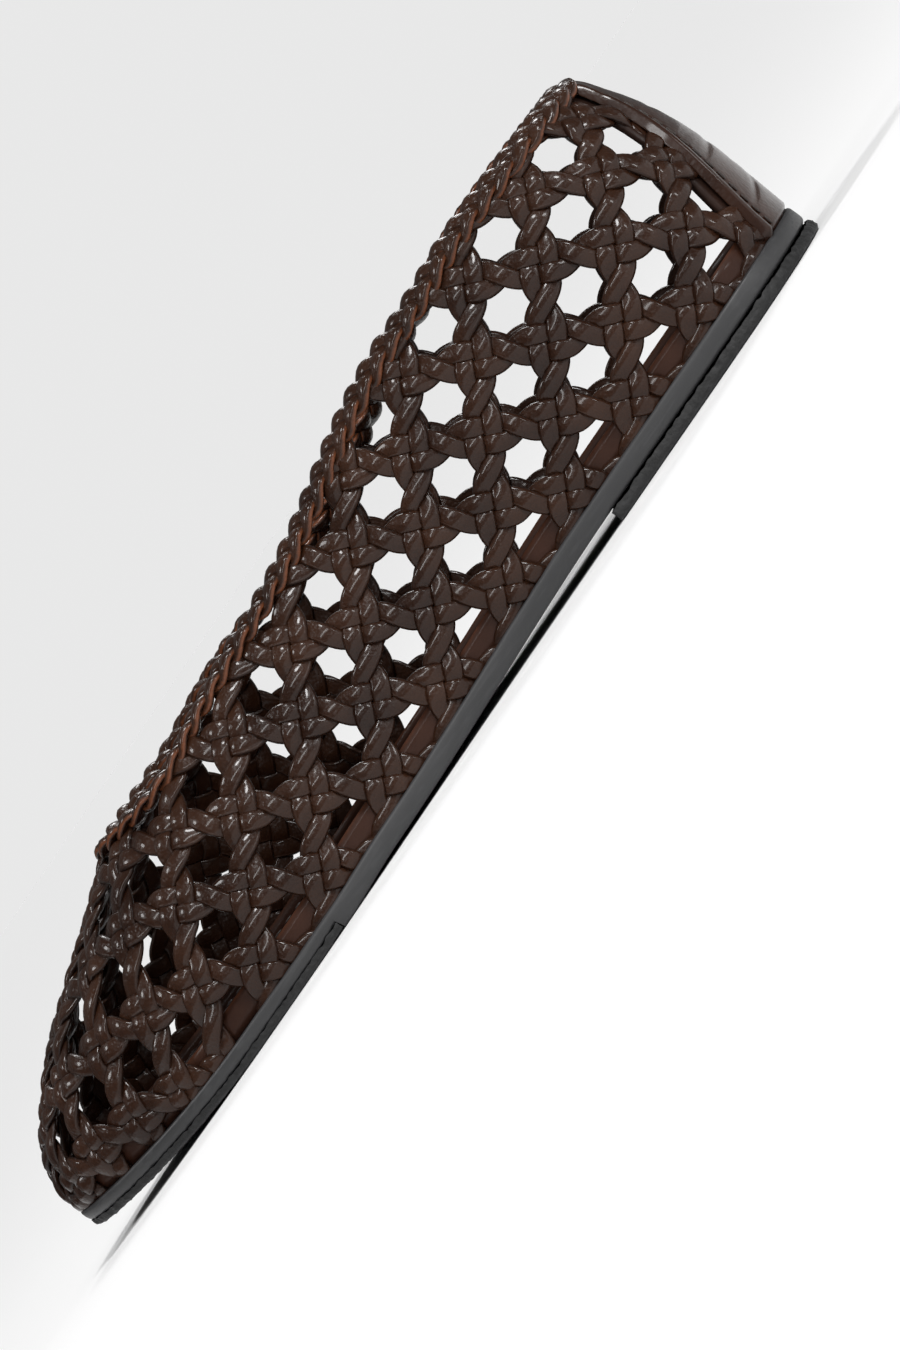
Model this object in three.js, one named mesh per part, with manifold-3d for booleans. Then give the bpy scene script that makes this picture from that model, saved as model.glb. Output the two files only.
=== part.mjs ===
// Braided ballet flat, left foot, standing empty on its sole. Millimetres, +Z up, toe toward -Y,
// outer (lateral) side toward +X. Distances called "along" run from the back of the heel to the toe.
import * as THREE from 'three';
import { mergeVertices } from 'three/addons/utils/BufferGeometryUtils.js';
import Module from 'manifold-3d';

const wasm = await Module();
wasm.setup();

// Driving sizes
const shoeLength = 246;
const ballWidth = 82;
const waistWidth = 53;
const heelWidth = 59;
const toeInset = 8; // the toe tip lies this far to the inner side of the heel's centre line
const turnStart = 0.45; // the centre line begins to turn at this share of the length
const turnSpan = 0.6; // and would end its turn this share of the length later
const toeRound = 54; // length over which the toe closes
const toePower = 2.15; // 2 closes as an ellipse, more is blunter
const heelRound = 30; // length over which the heel closes
const heelPower = 2.2;
const backHeight = 57; // top edge above the floor at the centre back
const throatHeight = 45;
const throatAlong = 181; // back of the throat on the centre line
const throatRound = 26; // length over which the throat closes
const toeCentreAlong = 200; // the front wall closes in a fan about this point
const heelCentreAlong = 45; // the back wall closes in a fan about this point

// Sole
const soleSide = 4.4; // height of the sole's side wall
const heelStep = 3; // the heel lift's step at the breast
const breastAlong = 67;
const liftFlare = 0.5; // the heel lift stands this far outside the sole
const toeSpring = 5.5;
const springStart = 190; // the tread is flat on the floor from flatStart to springStart
const flatStart = 172;
const treadEndRise = 1.3; // height of the tread's rear edge above the floor
const treadThickness = 1.8;
const waistProud = 0.5; // the smooth waist stands this far below the tread beside it
const treadAlongOuter = 162; // the tread's rear edge at the outer side of the sole
const treadAlongArch = 142; // and at the crown of its arch
const treadAlongInner = 148; // and at the inner side
const treadEndSlant = 3; // beyond the sole's edges the rear edge runs on by this much
const insoleThickness = 3;
const insoleRound = 0.8; // how far the insole's top edge is rounded in
const clearance = 0.3;
const soleLip = 1; // how far the outsole's lower edge is rounded in
const soleLipRise = 0.9;
const soleBrim = 0.4; // how far its upper edge is rounded in
const soleBrimDrop = 0.8;
const treadLip = 1.1; // how far the tread's lower edge is rounded in
const treadLipRise = 0.7;
const treadInset = 0.1; // the tread's side stands this far inside the sole's edge
const edgeInset = 0.2; // the roundings meet the side walls this far in
const liftLip = 0.5; // how far the heel lift's lower edge is rounded in
const liftLipRise = 0.8;

// Upper
const upperInset = 3.2; // the inner face of the wall stands this far inside the sole's edge
const bandThickness = 1.3;
const bandHeight = 5.2;
const netThickness = 2.2;
const netRaise = 0.9; // the strips stand this much higher where they cross
const netDepth = 0.6; // the net's inner side stands this far off the wall's inner face
const edgeMargin = 0.5; // the net is tucked this far short of its panel's edges
const squareness = 0.8; // 1 is an ellipse in cross section, less is squarer
const heelBulge = 2.4;
const strideAlong = 11; // half a mesh of the net along the shoe
const rowsToThroat = 6.5; // half meshes from the feather line to the throat's centre
const pairWidth = 6.8; // two strips side by side at a knot
const crossWidth = 4.6; // the same pair where it crosses midway
const ropeDiameter = 4.6;
const ropeLobe = 6.1; // length of one lobe of the plait
const ropeSwell = 0.1; // each lobe is thicker in its middle by this share, and thinner between
const ropeOut = 1.2; // the rope's centre lies this far outside the inner face
const counterThickness = 1.6;
const counterMargin = 2; // the counter reaches this far past the back strip's edges
const stripBottom = 21; // half width of the back strip at the sole
const stripTop = 9; // and at the top edge
const stripWaist = 1.5; // 1 tapers the strip evenly, more keeps it wide for longer
const stripThickness = 1.5;
const stripFold = 10; // length of the strip folded down inside

const OUTER = 1;
const INNER = -1;

// A row for each section of the sole's outline, as shares of the length and of the named width.
const outlineRows = [
  { along: 0.0, width: heelWidth, outer: 0.5, inner: 0.5 },
  { along: 0.14, width: heelWidth, outer: 0.5, inner: 0.5 },
  { along: 0.27, width: heelWidth, outer: 0.485, inner: 0.465 },
  { along: 0.4, width: waistWidth, outer: 0.53, inner: 0.47 },
  { along: 0.53, width: ballWidth, outer: 0.395, inner: 0.39 },
  { along: 0.66, width: ballWidth, outer: 0.475, inner: 0.525 },
  { along: 0.76, width: ballWidth, outer: 0.485, inner: 0.475 },
  { along: 0.88, width: ballWidth, outer: 0.425, inner: 0.425 },
  { along: 1.0, width: ballWidth, outer: 0.39, inner: 0.39 },
];

// Heights of the last's top line, which is only a guide behind the throat, as shares of the named height.
const spineRows = [
  { along: 0.0, height: backHeight, share: 1.72 },
  { along: 0.18, height: backHeight, share: 1.66 },
  { along: 0.28, height: backHeight, share: 1.54 },
  { along: 0.45, height: backHeight, share: 1.16 },
  { along: 0.6, height: throatHeight, share: 1.2 },
  { along: 0.74, height: throatHeight, share: 0.98 },
  { along: 0.81, height: throatHeight, share: 0.85 },
  { along: 0.92, height: throatHeight, share: 0.7 },
  { along: 1.0, height: throatHeight, share: 0.62 },
];

// How far the top edge lies in from the feather line, as a share of the way to the centre line.
const toplineRows = [
  { along: 0.0, outer: 0.09, inner: 0.09 },
  { along: 0.16, outer: 0.105, inner: 0.105 },
  { along: 0.25, outer: 0.115, inner: 0.11 },
  { along: 0.45, outer: 0.2, inner: 0.17 },
  { along: 0.62, outer: 0.33, inner: 0.4 },
  { along: 0.74, outer: 0.38, inner: 0.47 },
];

function smooth(value) {
  const share = THREE.MathUtils.clamp(value, 0, 1);
  return share * share * (3 - 2 * share);
}

// A smooth curve through the rows of a table, with the slope at each row taken from its neighbours.
function curveThrough(rows, read) {
  const values = rows.map(read);
  const slopes = rows.map((row, k) => {
    const before = Math.max(k - 1, 0);
    const after = Math.min(k + 1, rows.length - 1);
    return (values[after] - values[before]) / (rows[after].along - rows[before].along);
  });
  return (along) => {
    const place = THREE.MathUtils.clamp(along / shoeLength, 0, rows[rows.length - 1].along);
    let k = 0;
    while (k < rows.length - 2 && place > rows[k + 1].along) k += 1;
    const span = rows[k + 1].along - rows[k].along;
    const u = (place - rows[k].along) / span;
    const u2 = u * u;
    const u3 = u2 * u;
    return (2 * u3 - 3 * u2 + 1) * values[k] + (u3 - 2 * u2 + u) * span * slopes[k]
      + (3 * u2 - 2 * u3) * values[k + 1] + (u3 - u2) * span * slopes[k + 1];
  };
}

// 0 at the very end, 1 from `length` on, with the round nose of a superellipse between.
function roundEnd(distance, length, power) {
  const share = 1 - THREE.MathUtils.clamp(distance / length, 0, 1);
  return (1 - share ** power) ** (1 / power);
}

const outerWidth = curveThrough(outlineRows, (row) => row.width * row.outer);
const innerWidth = curveThrough(outlineRows, (row) => row.width * row.inner);
const spineHeight = curveThrough(spineRows, (row) => row.height * row.share);
const toplineShare = {
  [OUTER]: curveThrough(toplineRows, (row) => row.outer),
  [INNER]: curveThrough(toplineRows, (row) => row.inner),
};

function centreX(along) {
  return -toeInset * smooth((along / shoeLength - turnStart) / turnSpan);
}

function edgePlan(side, along) {
  const halfWidth = side === OUTER ? outerWidth(along) : innerWidth(along);
  const nose = roundEnd(along, heelRound, heelPower) * roundEnd(shoeLength - along, toeRound, toePower);
  return new THREE.Vector2(centreX(along) + side * halfWidth * nose, -along);
}

// Heights along the sole
function treadBottom(along) {
  const rear = treadEndRise * (1 - smooth((along - treadAlongArch) / (flatStart - treadAlongArch)));
  const front = Math.max(0, (along - springStart) / (shoeLength - springStart));
  return rear + toeSpring * front * front;
}

function waistBottom(along) {
  const front = Math.max(treadBottom(Math.max(along, treadAlongArch)) - waistProud, 0);
  const fall = smooth((along - breastAlong) / (treadAlongArch - breastAlong));
  return THREE.MathUtils.lerp(heelStep, front, fall);
}

function soleTop(along) {
  const ahead = smooth((along - treadAlongArch) / (springStart - treadAlongArch));
  return soleSide + THREE.MathUtils.lerp(waistBottom(along), treadBottom(along) + clearance, ahead);
}

// The outline as a ring: "around" runs from the toe tip, positive along the outer side and
// negative along the inner side, and the two ends meet at the centre back.
const ringSamples = 360;
const probe = 0.5; // directions are taken between two places this far to either side

function measureSide(side) {
  const table = [{ around: 0, along: shoeLength }];
  let last = edgePlan(side, shoeLength);
  let around = 0;
  for (let k = 1; k <= ringSamples; k += 1) {
    const along = (shoeLength * (1 + Math.cos((Math.PI * k) / ringSamples))) / 2;
    const here = edgePlan(side, along);
    around += here.distanceTo(last);
    table.push({ around, along });
    last = here;
  }
  return table;
}

const ring = { [OUTER]: measureSide(OUTER), [INNER]: measureSide(INNER) };

function sideLength(side) {
  return ring[side][ringSamples].around;
}

function lookUp(table, from, to, value) {
  let low = 0;
  let high = table.length - 1;
  const rising = table[high][from] > table[low][from];
  while (high - low > 1) {
    const middle = (low + high) >> 1;
    if ((table[middle][from] < value) === rising) low = middle;
    else high = middle;
  }
  const span = table[high][from] - table[low][from];
  const share = span === 0 ? 0 : (value - table[low][from]) / span;
  return THREE.MathUtils.lerp(table[low][to], table[high][to], share);
}

function placeOnRing(around) {
  const side = around >= 0 ? OUTER : INNER;
  const length = sideLength(side);
  if (Math.abs(around) <= length) {
    return { side, along: lookUp(ring[side], 'around', 'along', Math.abs(around)) };
  }
  const other = -side;
  const left = sideLength(other) - (Math.abs(around) - length);
  return { side: other, along: lookUp(ring[other], 'around', 'along', left) };
}

function aroundAt(side, along) {
  return side * lookUp(ring[side], 'along', 'around', along);
}

function ringPlan(around, inset) {
  const place = placeOnRing(around);
  const point = edgePlan(place.side, place.along);
  const before = placeOnRing(around - probe);
  const after = placeOnRing(around + probe);
  const run = edgePlan(after.side, after.along).sub(edgePlan(before.side, before.along)).normalize();
  return point.addScaledVector(new THREE.Vector2(run.y, -run.x), -inset);
}

// The wall: each station's profile rises from the feather line toward the spine.
const profileSteps = 36;
const quarterTurn = Math.PI / 2;

function toplineAngle(side, along) {
  const closed = 1 - toplineShare[side](along);
  const open = closed * roundEnd(throatAlong - along, throatRound, 2);
  return along >= throatAlong ? quarterTurn : Math.acos(open ** (1 / squareness));
}

const stations = new Map();

function station(around) {
  const key = Math.round(around * 1e4);
  if (stations.has(key)) return stations.get(key);
  const { side, along } = placeOnRing(around);
  const foot = ringPlan(around, upperInset);
  const fanAlong = THREE.MathUtils.clamp(along, heelCentreAlong, toeCentreAlong);
  const spine = new THREE.Vector2(centreX(fanAlong), -fanAlong);
  const inward = spine.clone().sub(foot);
  const unit = inward.clone().normalize();
  const topAngle = toplineAngle(side, along);
  const bulge = heelBulge * (1 - smooth((along - heelCentreAlong) / (throatAlong - heelCentreAlong)));
  const base = soleTop(-foot.y) + clearance;
  const points = [];
  const lengths = [0];
  for (let k = 0; k <= profileSteps; k += 1) {
    const angle = (quarterTurn * k) / profileSteps;
    const share = 1 - Math.max(Math.cos(angle), 0) ** squareness;
    const out = bulge * Math.sin(Math.PI * Math.min(angle / topAngle, 1));
    const plan = foot.clone().addScaledVector(inward, share).addScaledVector(unit, -out);
    const rise = (spineHeight(-plan.y) - base) * Math.sin(angle) ** squareness;
    const point = new THREE.Vector3(plan.x, plan.y, base + rise);
    if (k > 0) lengths.push(lengths[k - 1] + point.distanceTo(points[k - 1]));
    points.push(point);
  }
  const found = { points, lengths, girth: lengths[profileSteps], topAngle };
  stations.set(key, found);
  return found;
}

function wallPoint(around, up) {
  const { points, lengths } = station(around);
  if (up <= 0) return points[0].clone().setZ(points[0].z + up);
  const reach = Math.min(up, lengths[profileSteps]);
  let k = 0;
  while (k < profileSteps - 1 && lengths[k + 1] < reach) k += 1;
  const share = (reach - lengths[k]) / (lengths[k + 1] - lengths[k]);
  return points[k].clone().lerp(points[k + 1], share);
}

function wallNormal(around, up) {
  const run = wallPoint(around + probe, up).sub(wallPoint(around - probe, up));
  const rise = wallPoint(around, up + probe).sub(wallPoint(around, up - probe));
  return run.cross(rise).normalize();
}

function onWall(around, up, depth) {
  return wallPoint(around, up).addScaledVector(wallNormal(around, up), depth);
}

function toplineUp(around) {
  const { topAngle, lengths, girth } = station(around);
  const place = (topAngle / quarterTurn) * profileSteps;
  const k = Math.min(Math.floor(place), profileSteps - 1);
  return Math.min(THREE.MathUtils.lerp(lengths[k], lengths[k + 1], place - k), girth);
}

const shoe = new THREE.Group();

function addPiece(name, solid, colour, roughness) {
  const found = solid.getMesh();
  const geometry = new THREE.BufferGeometry();
  const positions = new Float32Array(found.vertProperties);
  geometry.setAttribute('position', new THREE.BufferAttribute(positions, 3));
  geometry.setIndex(new THREE.BufferAttribute(new Uint32Array(found.triVerts), 1));
  const material = new THREE.MeshStandardMaterial({ color: colour, roughness, metalness: 0 });
  const mesh = new THREE.Mesh(geometry, material);
  mesh.name = name;
  shoe.add(mesh);
}

// Makes a solid from a list of triangles, each of three points.
function solidFrom(triangles) {
  const positions = new Float32Array(triangles.flatMap((corners) => corners.flatMap((p) => p.toArray())));
  const loose = new THREE.BufferGeometry();
  loose.setAttribute('position', new THREE.BufferAttribute(positions, 3));
  const merged = mergeVertices(loose, 1e-4);
  const source = merged.index.array;
  const index = [];
  for (let k = 0; k < source.length; k += 3) {
    const [a, b, c] = source.slice(k, k + 3);
    if (a !== b && b !== c && c !== a) index.push(a, b, c);
  }
  return new wasm.Manifold(new wasm.Mesh({
    numProp: 3,
    vertProperties: new Float32Array(merged.attributes.position.array),
    triVerts: new Uint32Array(index),
  }));
}

function addQuad(triangles, a, b, c, d) {
  triangles.push([a, b, c], [a, c, d]);
}

// Rings of points, each joined to the next. The first and last ring are closed by a ladder
// between their two sides, or joined to each other where the loft is a loop.
function loft(rings, isLoop) {
  const triangles = [];
  const size = rings[0].length;
  const joins = isLoop ? rings.length : rings.length - 1;
  for (let r = 0; r < joins; r += 1) {
    const lower = rings[r];
    const upper = rings[(r + 1) % rings.length];
    for (let k = 0; k < size; k += 1) {
      const next = (k + 1) % size;
      addQuad(triangles, lower[k], lower[next], upper[next], upper[k]);
    }
  }
  if (!isLoop) {
    const [first, last] = [rings[0], rings[rings.length - 1]];
    for (let k = 0; k < size / 2; k += 1) {
      const [far, near] = [size - 1 - k, (size - k) % size];
      addQuad(triangles, first[k], first[near], first[far], first[k + 1]);
      addQuad(triangles, last[k], last[k + 1], last[far], last[near]);
    }
  }
  return solidFrom(triangles);
}

// Sole: rings of the outline, with their rungs straight across the shoe.
const outlineSteps = 36;
const edgeSteps = 30;

function outlineRing(inset, height) {
  return Array.from({ length: 2 * outlineSteps }, (unused, k) => {
    const side = k <= outlineSteps ? OUTER : INNER;
    const turn = k <= outlineSteps ? k : 2 * outlineSteps - k;
    const along = (shoeLength * (1 + Math.cos((Math.PI * turn) / outlineSteps))) / 2;
    const plan = ringPlan(aroundAt(side, along), inset);
    return new THREE.Vector3(plan.x, plan.y, height(-plan.y));
  });
}

// The tread's rear edge, from the outer side to the inner side: `across` is a share of the ball's width.
const treadEdgeRows = [
  { across: 0.56, along: treadAlongOuter + treadEndSlant },
  { across: 0.42, along: treadAlongOuter },
  { across: 0.13, along: (treadAlongOuter + treadAlongArch) / 2 },
  { across: -0.06, along: treadAlongArch + clearance },
  { across: -0.24, along: treadAlongArch },
  { across: -0.42, along: (treadAlongArch + treadAlongInner) / 2 },
  { across: -0.56, along: treadAlongInner + treadEndSlant },
];

// Everything ahead of that edge, moved forward by `shift`.
function aheadOfTreadEdge(shift) {
  const places = treadEdgeRows.map((row) => new THREE.Vector2(ballWidth * row.across, -row.along - shift));
  const outline = new THREE.SplineCurve(places).getPoints(edgeSteps);
  outline.push(new THREE.Vector2(-ballWidth, -shoeLength - ballWidth));
  outline.push(new THREE.Vector2(ballWidth, -shoeLength - ballWidth));
  return prism(outline, -ballWidth, ballWidth);
}

function prism(outline, low, high) {
  const extruded = new THREE.ExtrudeGeometry(new THREE.Shape(outline), {
    depth: high - low,
    bevelEnabled: false,
  });
  extruded.translate(0, 0, low);
  const places = extruded.attributes.position;
  const triangles = [];
  for (let k = 0; k < places.count; k += 3) {
    triangles.push([k, k + 1, k + 2].map((j) => new THREE.Vector3().fromBufferAttribute(places, j)));
  }
  return solidFrom(triangles);
}

const treadRoom = loft([
  outlineRing(-soleSide, (along) => treadBottom(along) - heelStep),
  outlineRing(-soleSide, (along) => treadBottom(along) + treadThickness + clearance),
]);
const outsole = loft([
  outlineRing(soleLip, (along) => waistBottom(along)),
  outlineRing(edgeInset, (along) => waistBottom(along) + soleLipRise),
  outlineRing(0, (along) => soleTop(along) - soleBrimDrop),
  outlineRing(soleBrim, (along) => soleTop(along)),
]).subtract(treadRoom.intersect(aheadOfTreadEdge(0)));
addPiece('outsole', outsole, 0x343435, 0.6);

const tread = loft([
  outlineRing(treadLip, (along) => treadBottom(along)),
  outlineRing(treadInset + edgeInset, (along) => treadBottom(along) + treadLipRise),
  outlineRing(treadInset, (along) => treadBottom(along) + treadThickness),
]).intersect(aheadOfTreadEdge(clearance));
addPiece('forefoot_tread', tread, 0x2e2e2f, 0.75);

const behindBreast = [
  new THREE.Vector2(-ballWidth, -breastAlong),
  new THREE.Vector2(ballWidth, -breastAlong),
  new THREE.Vector2(ballWidth, ballWidth),
  new THREE.Vector2(-ballWidth, ballWidth),
];
const lift = loft([
  outlineRing(liftLip, () => 0),
  outlineRing(-liftFlare, () => liftLipRise),
  outlineRing(-liftFlare, () => heelStep - clearance),
]).intersect(prism(behindBreast, -ballWidth, ballWidth));
addPiece('heel_lift', lift, 0x2b2b2c, 0.8);

const insoleInset = upperInset + 2 * clearance;
const insole = loft([
  outlineRing(insoleInset, (along) => soleTop(along) + clearance),
  outlineRing(insoleInset, (along) => soleTop(along) + insoleThickness - edgeInset),
  outlineRing(insoleInset + insoleRound, (along) => soleTop(along) + clearance + insoleThickness),
]);
addPiece('insole', insole, 0x2a1d17, 0.7);

// Upper: a lasted band along the sole, a plain counter under the back strip, a braided rope
// round the top edge, and the net between them, all one solid.
const backTop = toplineUp(sideLength(OUTER));

function stripHalfWidth(up) {
  const share = THREE.MathUtils.clamp(up / backTop, 0, 1);
  return THREE.MathUtils.lerp(stripBottom, stripTop, share ** stripWaist);
}

const bandSteps = 88;

function lastingBand() {
  const start = -sideLength(INNER);
  const whole = sideLength(OUTER) - start;
  const sections = Array.from({ length: bandSteps }, (unused, k) => {
    const around = start + (whole * k) / bandSteps;
    return [[0, 0], [bandHeight, 0], [bandHeight, bandThickness], [0, bandThickness]]
      .map(([up, depth]) => onWall(around, up, depth));
  });
  return loft(sections, true);
}

// A closed sheet from a grid of points on its outer face and one on its inner face.
function sheet(outer, inner) {
  const triangles = [];
  const rows = outer.length - 1;
  const columns = outer[0].length - 1;
  for (let r = 0; r < rows; r += 1) {
    for (let c = 0; c < columns; c += 1) {
      addQuad(triangles, outer[r][c], outer[r][c + 1], outer[r + 1][c + 1], outer[r + 1][c]);
      addQuad(triangles, inner[r][c], inner[r + 1][c], inner[r + 1][c + 1], inner[r][c + 1]);
    }
    addQuad(triangles, inner[r][0], outer[r][0], outer[r + 1][0], inner[r + 1][0]);
    addQuad(triangles, outer[r][columns], inner[r][columns], inner[r + 1][columns], outer[r + 1][columns]);
  }
  for (let c = 0; c < columns; c += 1) {
    addQuad(triangles, inner[0][c], inner[0][c + 1], outer[0][c + 1], outer[0][c]);
    addQuad(triangles, outer[rows][c], outer[rows][c + 1], inner[rows][c + 1], inner[rows][c]);
  }
  return solidFrom(triangles);
}

const backColumns = 8;
const backRows = 7;

// A grid over the heel: columns run across the back, from the outer side to the inner side.
function backGrid(profile, extraWidth) {
  return profile.map(([rise, drop, depth]) => {
    return Array.from({ length: backColumns + 1 }, (unused, c) => {
      const offset = (2 * c) / backColumns - 1;
      const up = rise * backTop + drop;
      const around = sideLength(OUTER) + offset * (stripHalfWidth(up) + extraWidth);
      return onWall(around, Math.max(up, 0), depth);
    });
  });
}

function counterProfile(depth) {
  return Array.from({ length: backRows + 1 }, (unused, r) => [r / backRows, 0, depth]);
}

const counter = sheet(
  backGrid(counterProfile(counterThickness), counterMargin),
  backGrid(counterProfile(0), counterMargin),
);

const edgeSamples = 160;

function toplinePath() {
  const path = [];
  for (const side of [OUTER, INNER]) {
    const end = sideLength(side) - stripTop - 3 * clearance;
    const backAlong = placeOnRing(end * side).along;
    for (let k = 0; k <= edgeSamples; k += 1) {
      const turn = side === OUTER ? edgeSamples - k : k;
      const share = (1 - Math.cos((Math.PI * turn) / edgeSamples)) / 2;
      const around = aroundAt(side, THREE.MathUtils.lerp(throatAlong, backAlong, share));
      const isRepeat = side === INNER && k === 0;
      if (!isRepeat) path.push({ point: onWall(around, toplineUp(around), ropeOut), around });
    }
  }
  return path;
}

function evenly(path, spacing) {
  const reach = [0];
  for (let k = 1; k < path.length; k += 1) {
    reach.push(reach[k - 1] + path[k].point.distanceTo(path[k - 1].point));
  }
  const whole = reach[path.length - 1];
  const count = Math.round(whole / spacing);
  let k = 0;
  return Array.from({ length: count + 1 }, (unused, j) => {
    const goal = (whole * j) / count;
    while (k < path.length - 2 && reach[k + 1] < goal) k += 1;
    const share = (goal - reach[k]) / (reach[k + 1] - reach[k]);
    const point = path[k].point.clone().lerp(path[k + 1].point, share);
    return { point, around: path[k].around, reach: goal };
  });
}

const ropeSides = 5;

function topRope() {
  const stops = evenly(toplinePath(), ropeLobe / 2);
  const sections = stops.map((stop, j) => {
    const before = stops[Math.max(j - 1, 0)].point;
    const after = stops[Math.min(j + 1, stops.length - 1)].point;
    const run = after.clone().sub(before).normalize();
    const out = wallNormal(stop.around, toplineUp(stop.around));
    const rise = out.clone().cross(run).normalize();
    const across = run.clone().cross(rise).normalize();
    const radius = (ropeDiameter / 2) * (j % 2 === 0 ? 1 + ropeSwell : 1 - ropeSwell);
    return Array.from({ length: ropeSides }, (unused, k) => {
      const turn = (2 * Math.PI * k) / ropeSides;
      return stop.point.clone()
        .addScaledVector(across, radius * Math.cos(turn))
        .addScaledVector(rise, -radius * Math.sin(turn));
    });
  });
  return loft(sections, false);
}

// The net is laid out flat: `row` counts half meshes out from the centre line (positive to the
// outer side) and `stride` half meshes from the toe's fan centre back toward the heel.
function pitch(side) {
  return station(aroundAt(side, throatAlong)).girth / rowsToThroat;
}

const rowPitch = { [OUTER]: pitch(OUTER), [INNER]: pitch(INNER) };

function flatToWall(x, y) {
  const side = x >= 0 ? OUTER : INNER;
  const out = Math.abs(x);
  const back = toeCentreAlong - throatAlong;
  if (y < 0) {
    const turn = Math.atan2(out, -y) / quarterTurn;
    const around = aroundAt(side, toeCentreAlong) * turn;
    return { around, up: station(around).girth - Math.hypot(out, y) };
  }
  const around = aroundAt(side, toeCentreAlong - Math.min(y, back)) + side * Math.max(y - back, 0);
  const girth = y > back ? rowPitch[side] * rowsToThroat : station(around).girth;
  return { around, up: girth - out };
}

// How far a place lies inside the net's panel. It is less than 0 outside.
function roomInPanel({ around, up }) {
  const place = placeOnRing(around);
  const toBack = sideLength(place.side) - Math.abs(around) - stripHalfWidth(up) - clearance;
  const toTop = place.along >= throatAlong ? place.along - throatAlong : toplineUp(around) - up;
  return Math.min(up, toTop, toBack);
}

function lieFlat(row, stride) {
  return [row * rowPitch[row >= 0 ? OUTER : INNER], stride * strideAlong];
}

// A point of the net, kept inside the panel's edges and lifted off the wall's inner face.
function netPoint(row, stride, depth) {
  const [x, y] = lieFlat(row, stride);
  const lay = (dx, dy) => flatToWall(x + dx, y + dy);
  const place = lay(0, 0);
  const side = place.around >= 0 ? OUTER : INNER;
  const backLimit = sideLength(side) - stripHalfWidth(place.up) - clearance;
  const around = side * Math.min(Math.abs(place.around), backLimit);
  const isOpen = placeOnRing(around).along < throatAlong;
  const limit = isOpen ? toplineUp(around) - edgeMargin : Infinity;
  const up = Math.min(Math.max(place.up, edgeMargin), limit);
  const at = (dx, dy) => {
    const near = lay(dx, dy);
    return wallPoint(near.around, near.up);
  };
  const across = at(probe, 0).sub(at(-probe, 0));
  const back = at(0, probe).sub(at(0, -probe));
  const outward = across.cross(back).normalize();
  return wallPoint(around, up).addScaledVector(outward, depth);
}

const shortestArm = 0.45; // an arm that leaves the panel sooner is left out
const directions = [[1, 1], [-1, 1], [-1, -1], [1, -1]];
const corners = [[1, 0], [0, 1], [-1, 0], [0, -1]];

function roomAt(row, stride) {
  return roomInPanel(flatToWall(...lieFlat(row, stride)));
}

function makeKnot(row, stride) {
  const pitchHere = rowPitch[row >= 0 ? OUTER : INNER];
  const slant = Math.atan2(strideAlong, pitchHere);
  const acrossReach = pairWidth / 2 / Math.sin(slant) / pitchHere;
  const backReach = pairWidth / 2 / Math.cos(slant) / strideAlong;
  const outerCorners = [];
  const innerCorners = [];
  const ridges = [];
  for (let k = 0; k < 4; k += 1) {
    const [across, back] = corners[k];
    const [cornerRow, cornerStride] = [row + across * acrossReach, stride + back * backReach];
    outerCorners.push(netPoint(cornerRow, cornerStride, netThickness));
    innerCorners.push(netPoint(cornerRow, cornerStride, netDepth));
    const [dx, dy] = directions[k];
    const ridge = netThickness + netRaise;
    ridges.push(netPoint(row + (dx * acrossReach) / 2, stride + (dy * backReach) / 2, ridge));
  }
  const centre = netPoint(row, stride, netThickness + netRaise / 3);
  return { row, stride, outerCorners, innerCorners, ridges, centre };
}

// The five points of a strip pair's section, on its way out of a knot in direction k.
function leaving(knot, k) {
  const left = (k + 1) % 4;
  return [knot.outerCorners[left], knot.ridges[k], knot.outerCorners[k], knot.innerCorners[k],
    knot.innerCorners[left]];
}

function reversed(section) {
  return [section[2], section[1], section[0], section[4], section[3]];
}

function midSection(knot, k, share) {
  const [dx, dy] = directions[k];
  const pitchHere = rowPitch[knot.row + dx / 2 >= 0 ? OUTER : INNER];
  const length = Math.hypot(pitchHere, strideAlong);
  const halfWidth = crossWidth / 2;
  const [row, stride] = [knot.row + dx * share, knot.stride + dy * share];
  const leftRow = (-dy * strideAlong * halfWidth) / length / pitchHere;
  const leftStride = (dx * pitchHere * halfWidth) / length / strideAlong;
  const outer = [1, -1].map((s) => netPoint(row + s * leftRow, stride + s * leftStride, netThickness));
  const inner = [1, -1].map((s) => netPoint(row + s * leftRow, stride + s * leftStride, netDepth));
  return [outer[0], netPoint(row, stride, netThickness + netRaise), outer[1], inner[1], inner[0]];
}

function joinSections(triangles, from, to) {
  for (let k = 0; k < 5; k += 1) {
    const next = (k + 1) % 5;
    addQuad(triangles, from[k], from[next], to[next], to[k]);
  }
}

function capSection(triangles, section) {
  triangles.push([section[0], section[1], section[4]], [section[1], section[3], section[4]],
    [section[1], section[2], section[3]]);
}

function shareInPanel(knot, k) {
  const [dx, dy] = directions[k];
  let low = 0;
  let high = 1;
  for (let turn = 0; turn < 20; turn += 1) {
    const share = (low + high) / 2;
    if (roomAt(knot.row + dx * share, knot.stride + dy * share) > edgeMargin) low = share;
    else high = share;
  }
  return low;
}

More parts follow.
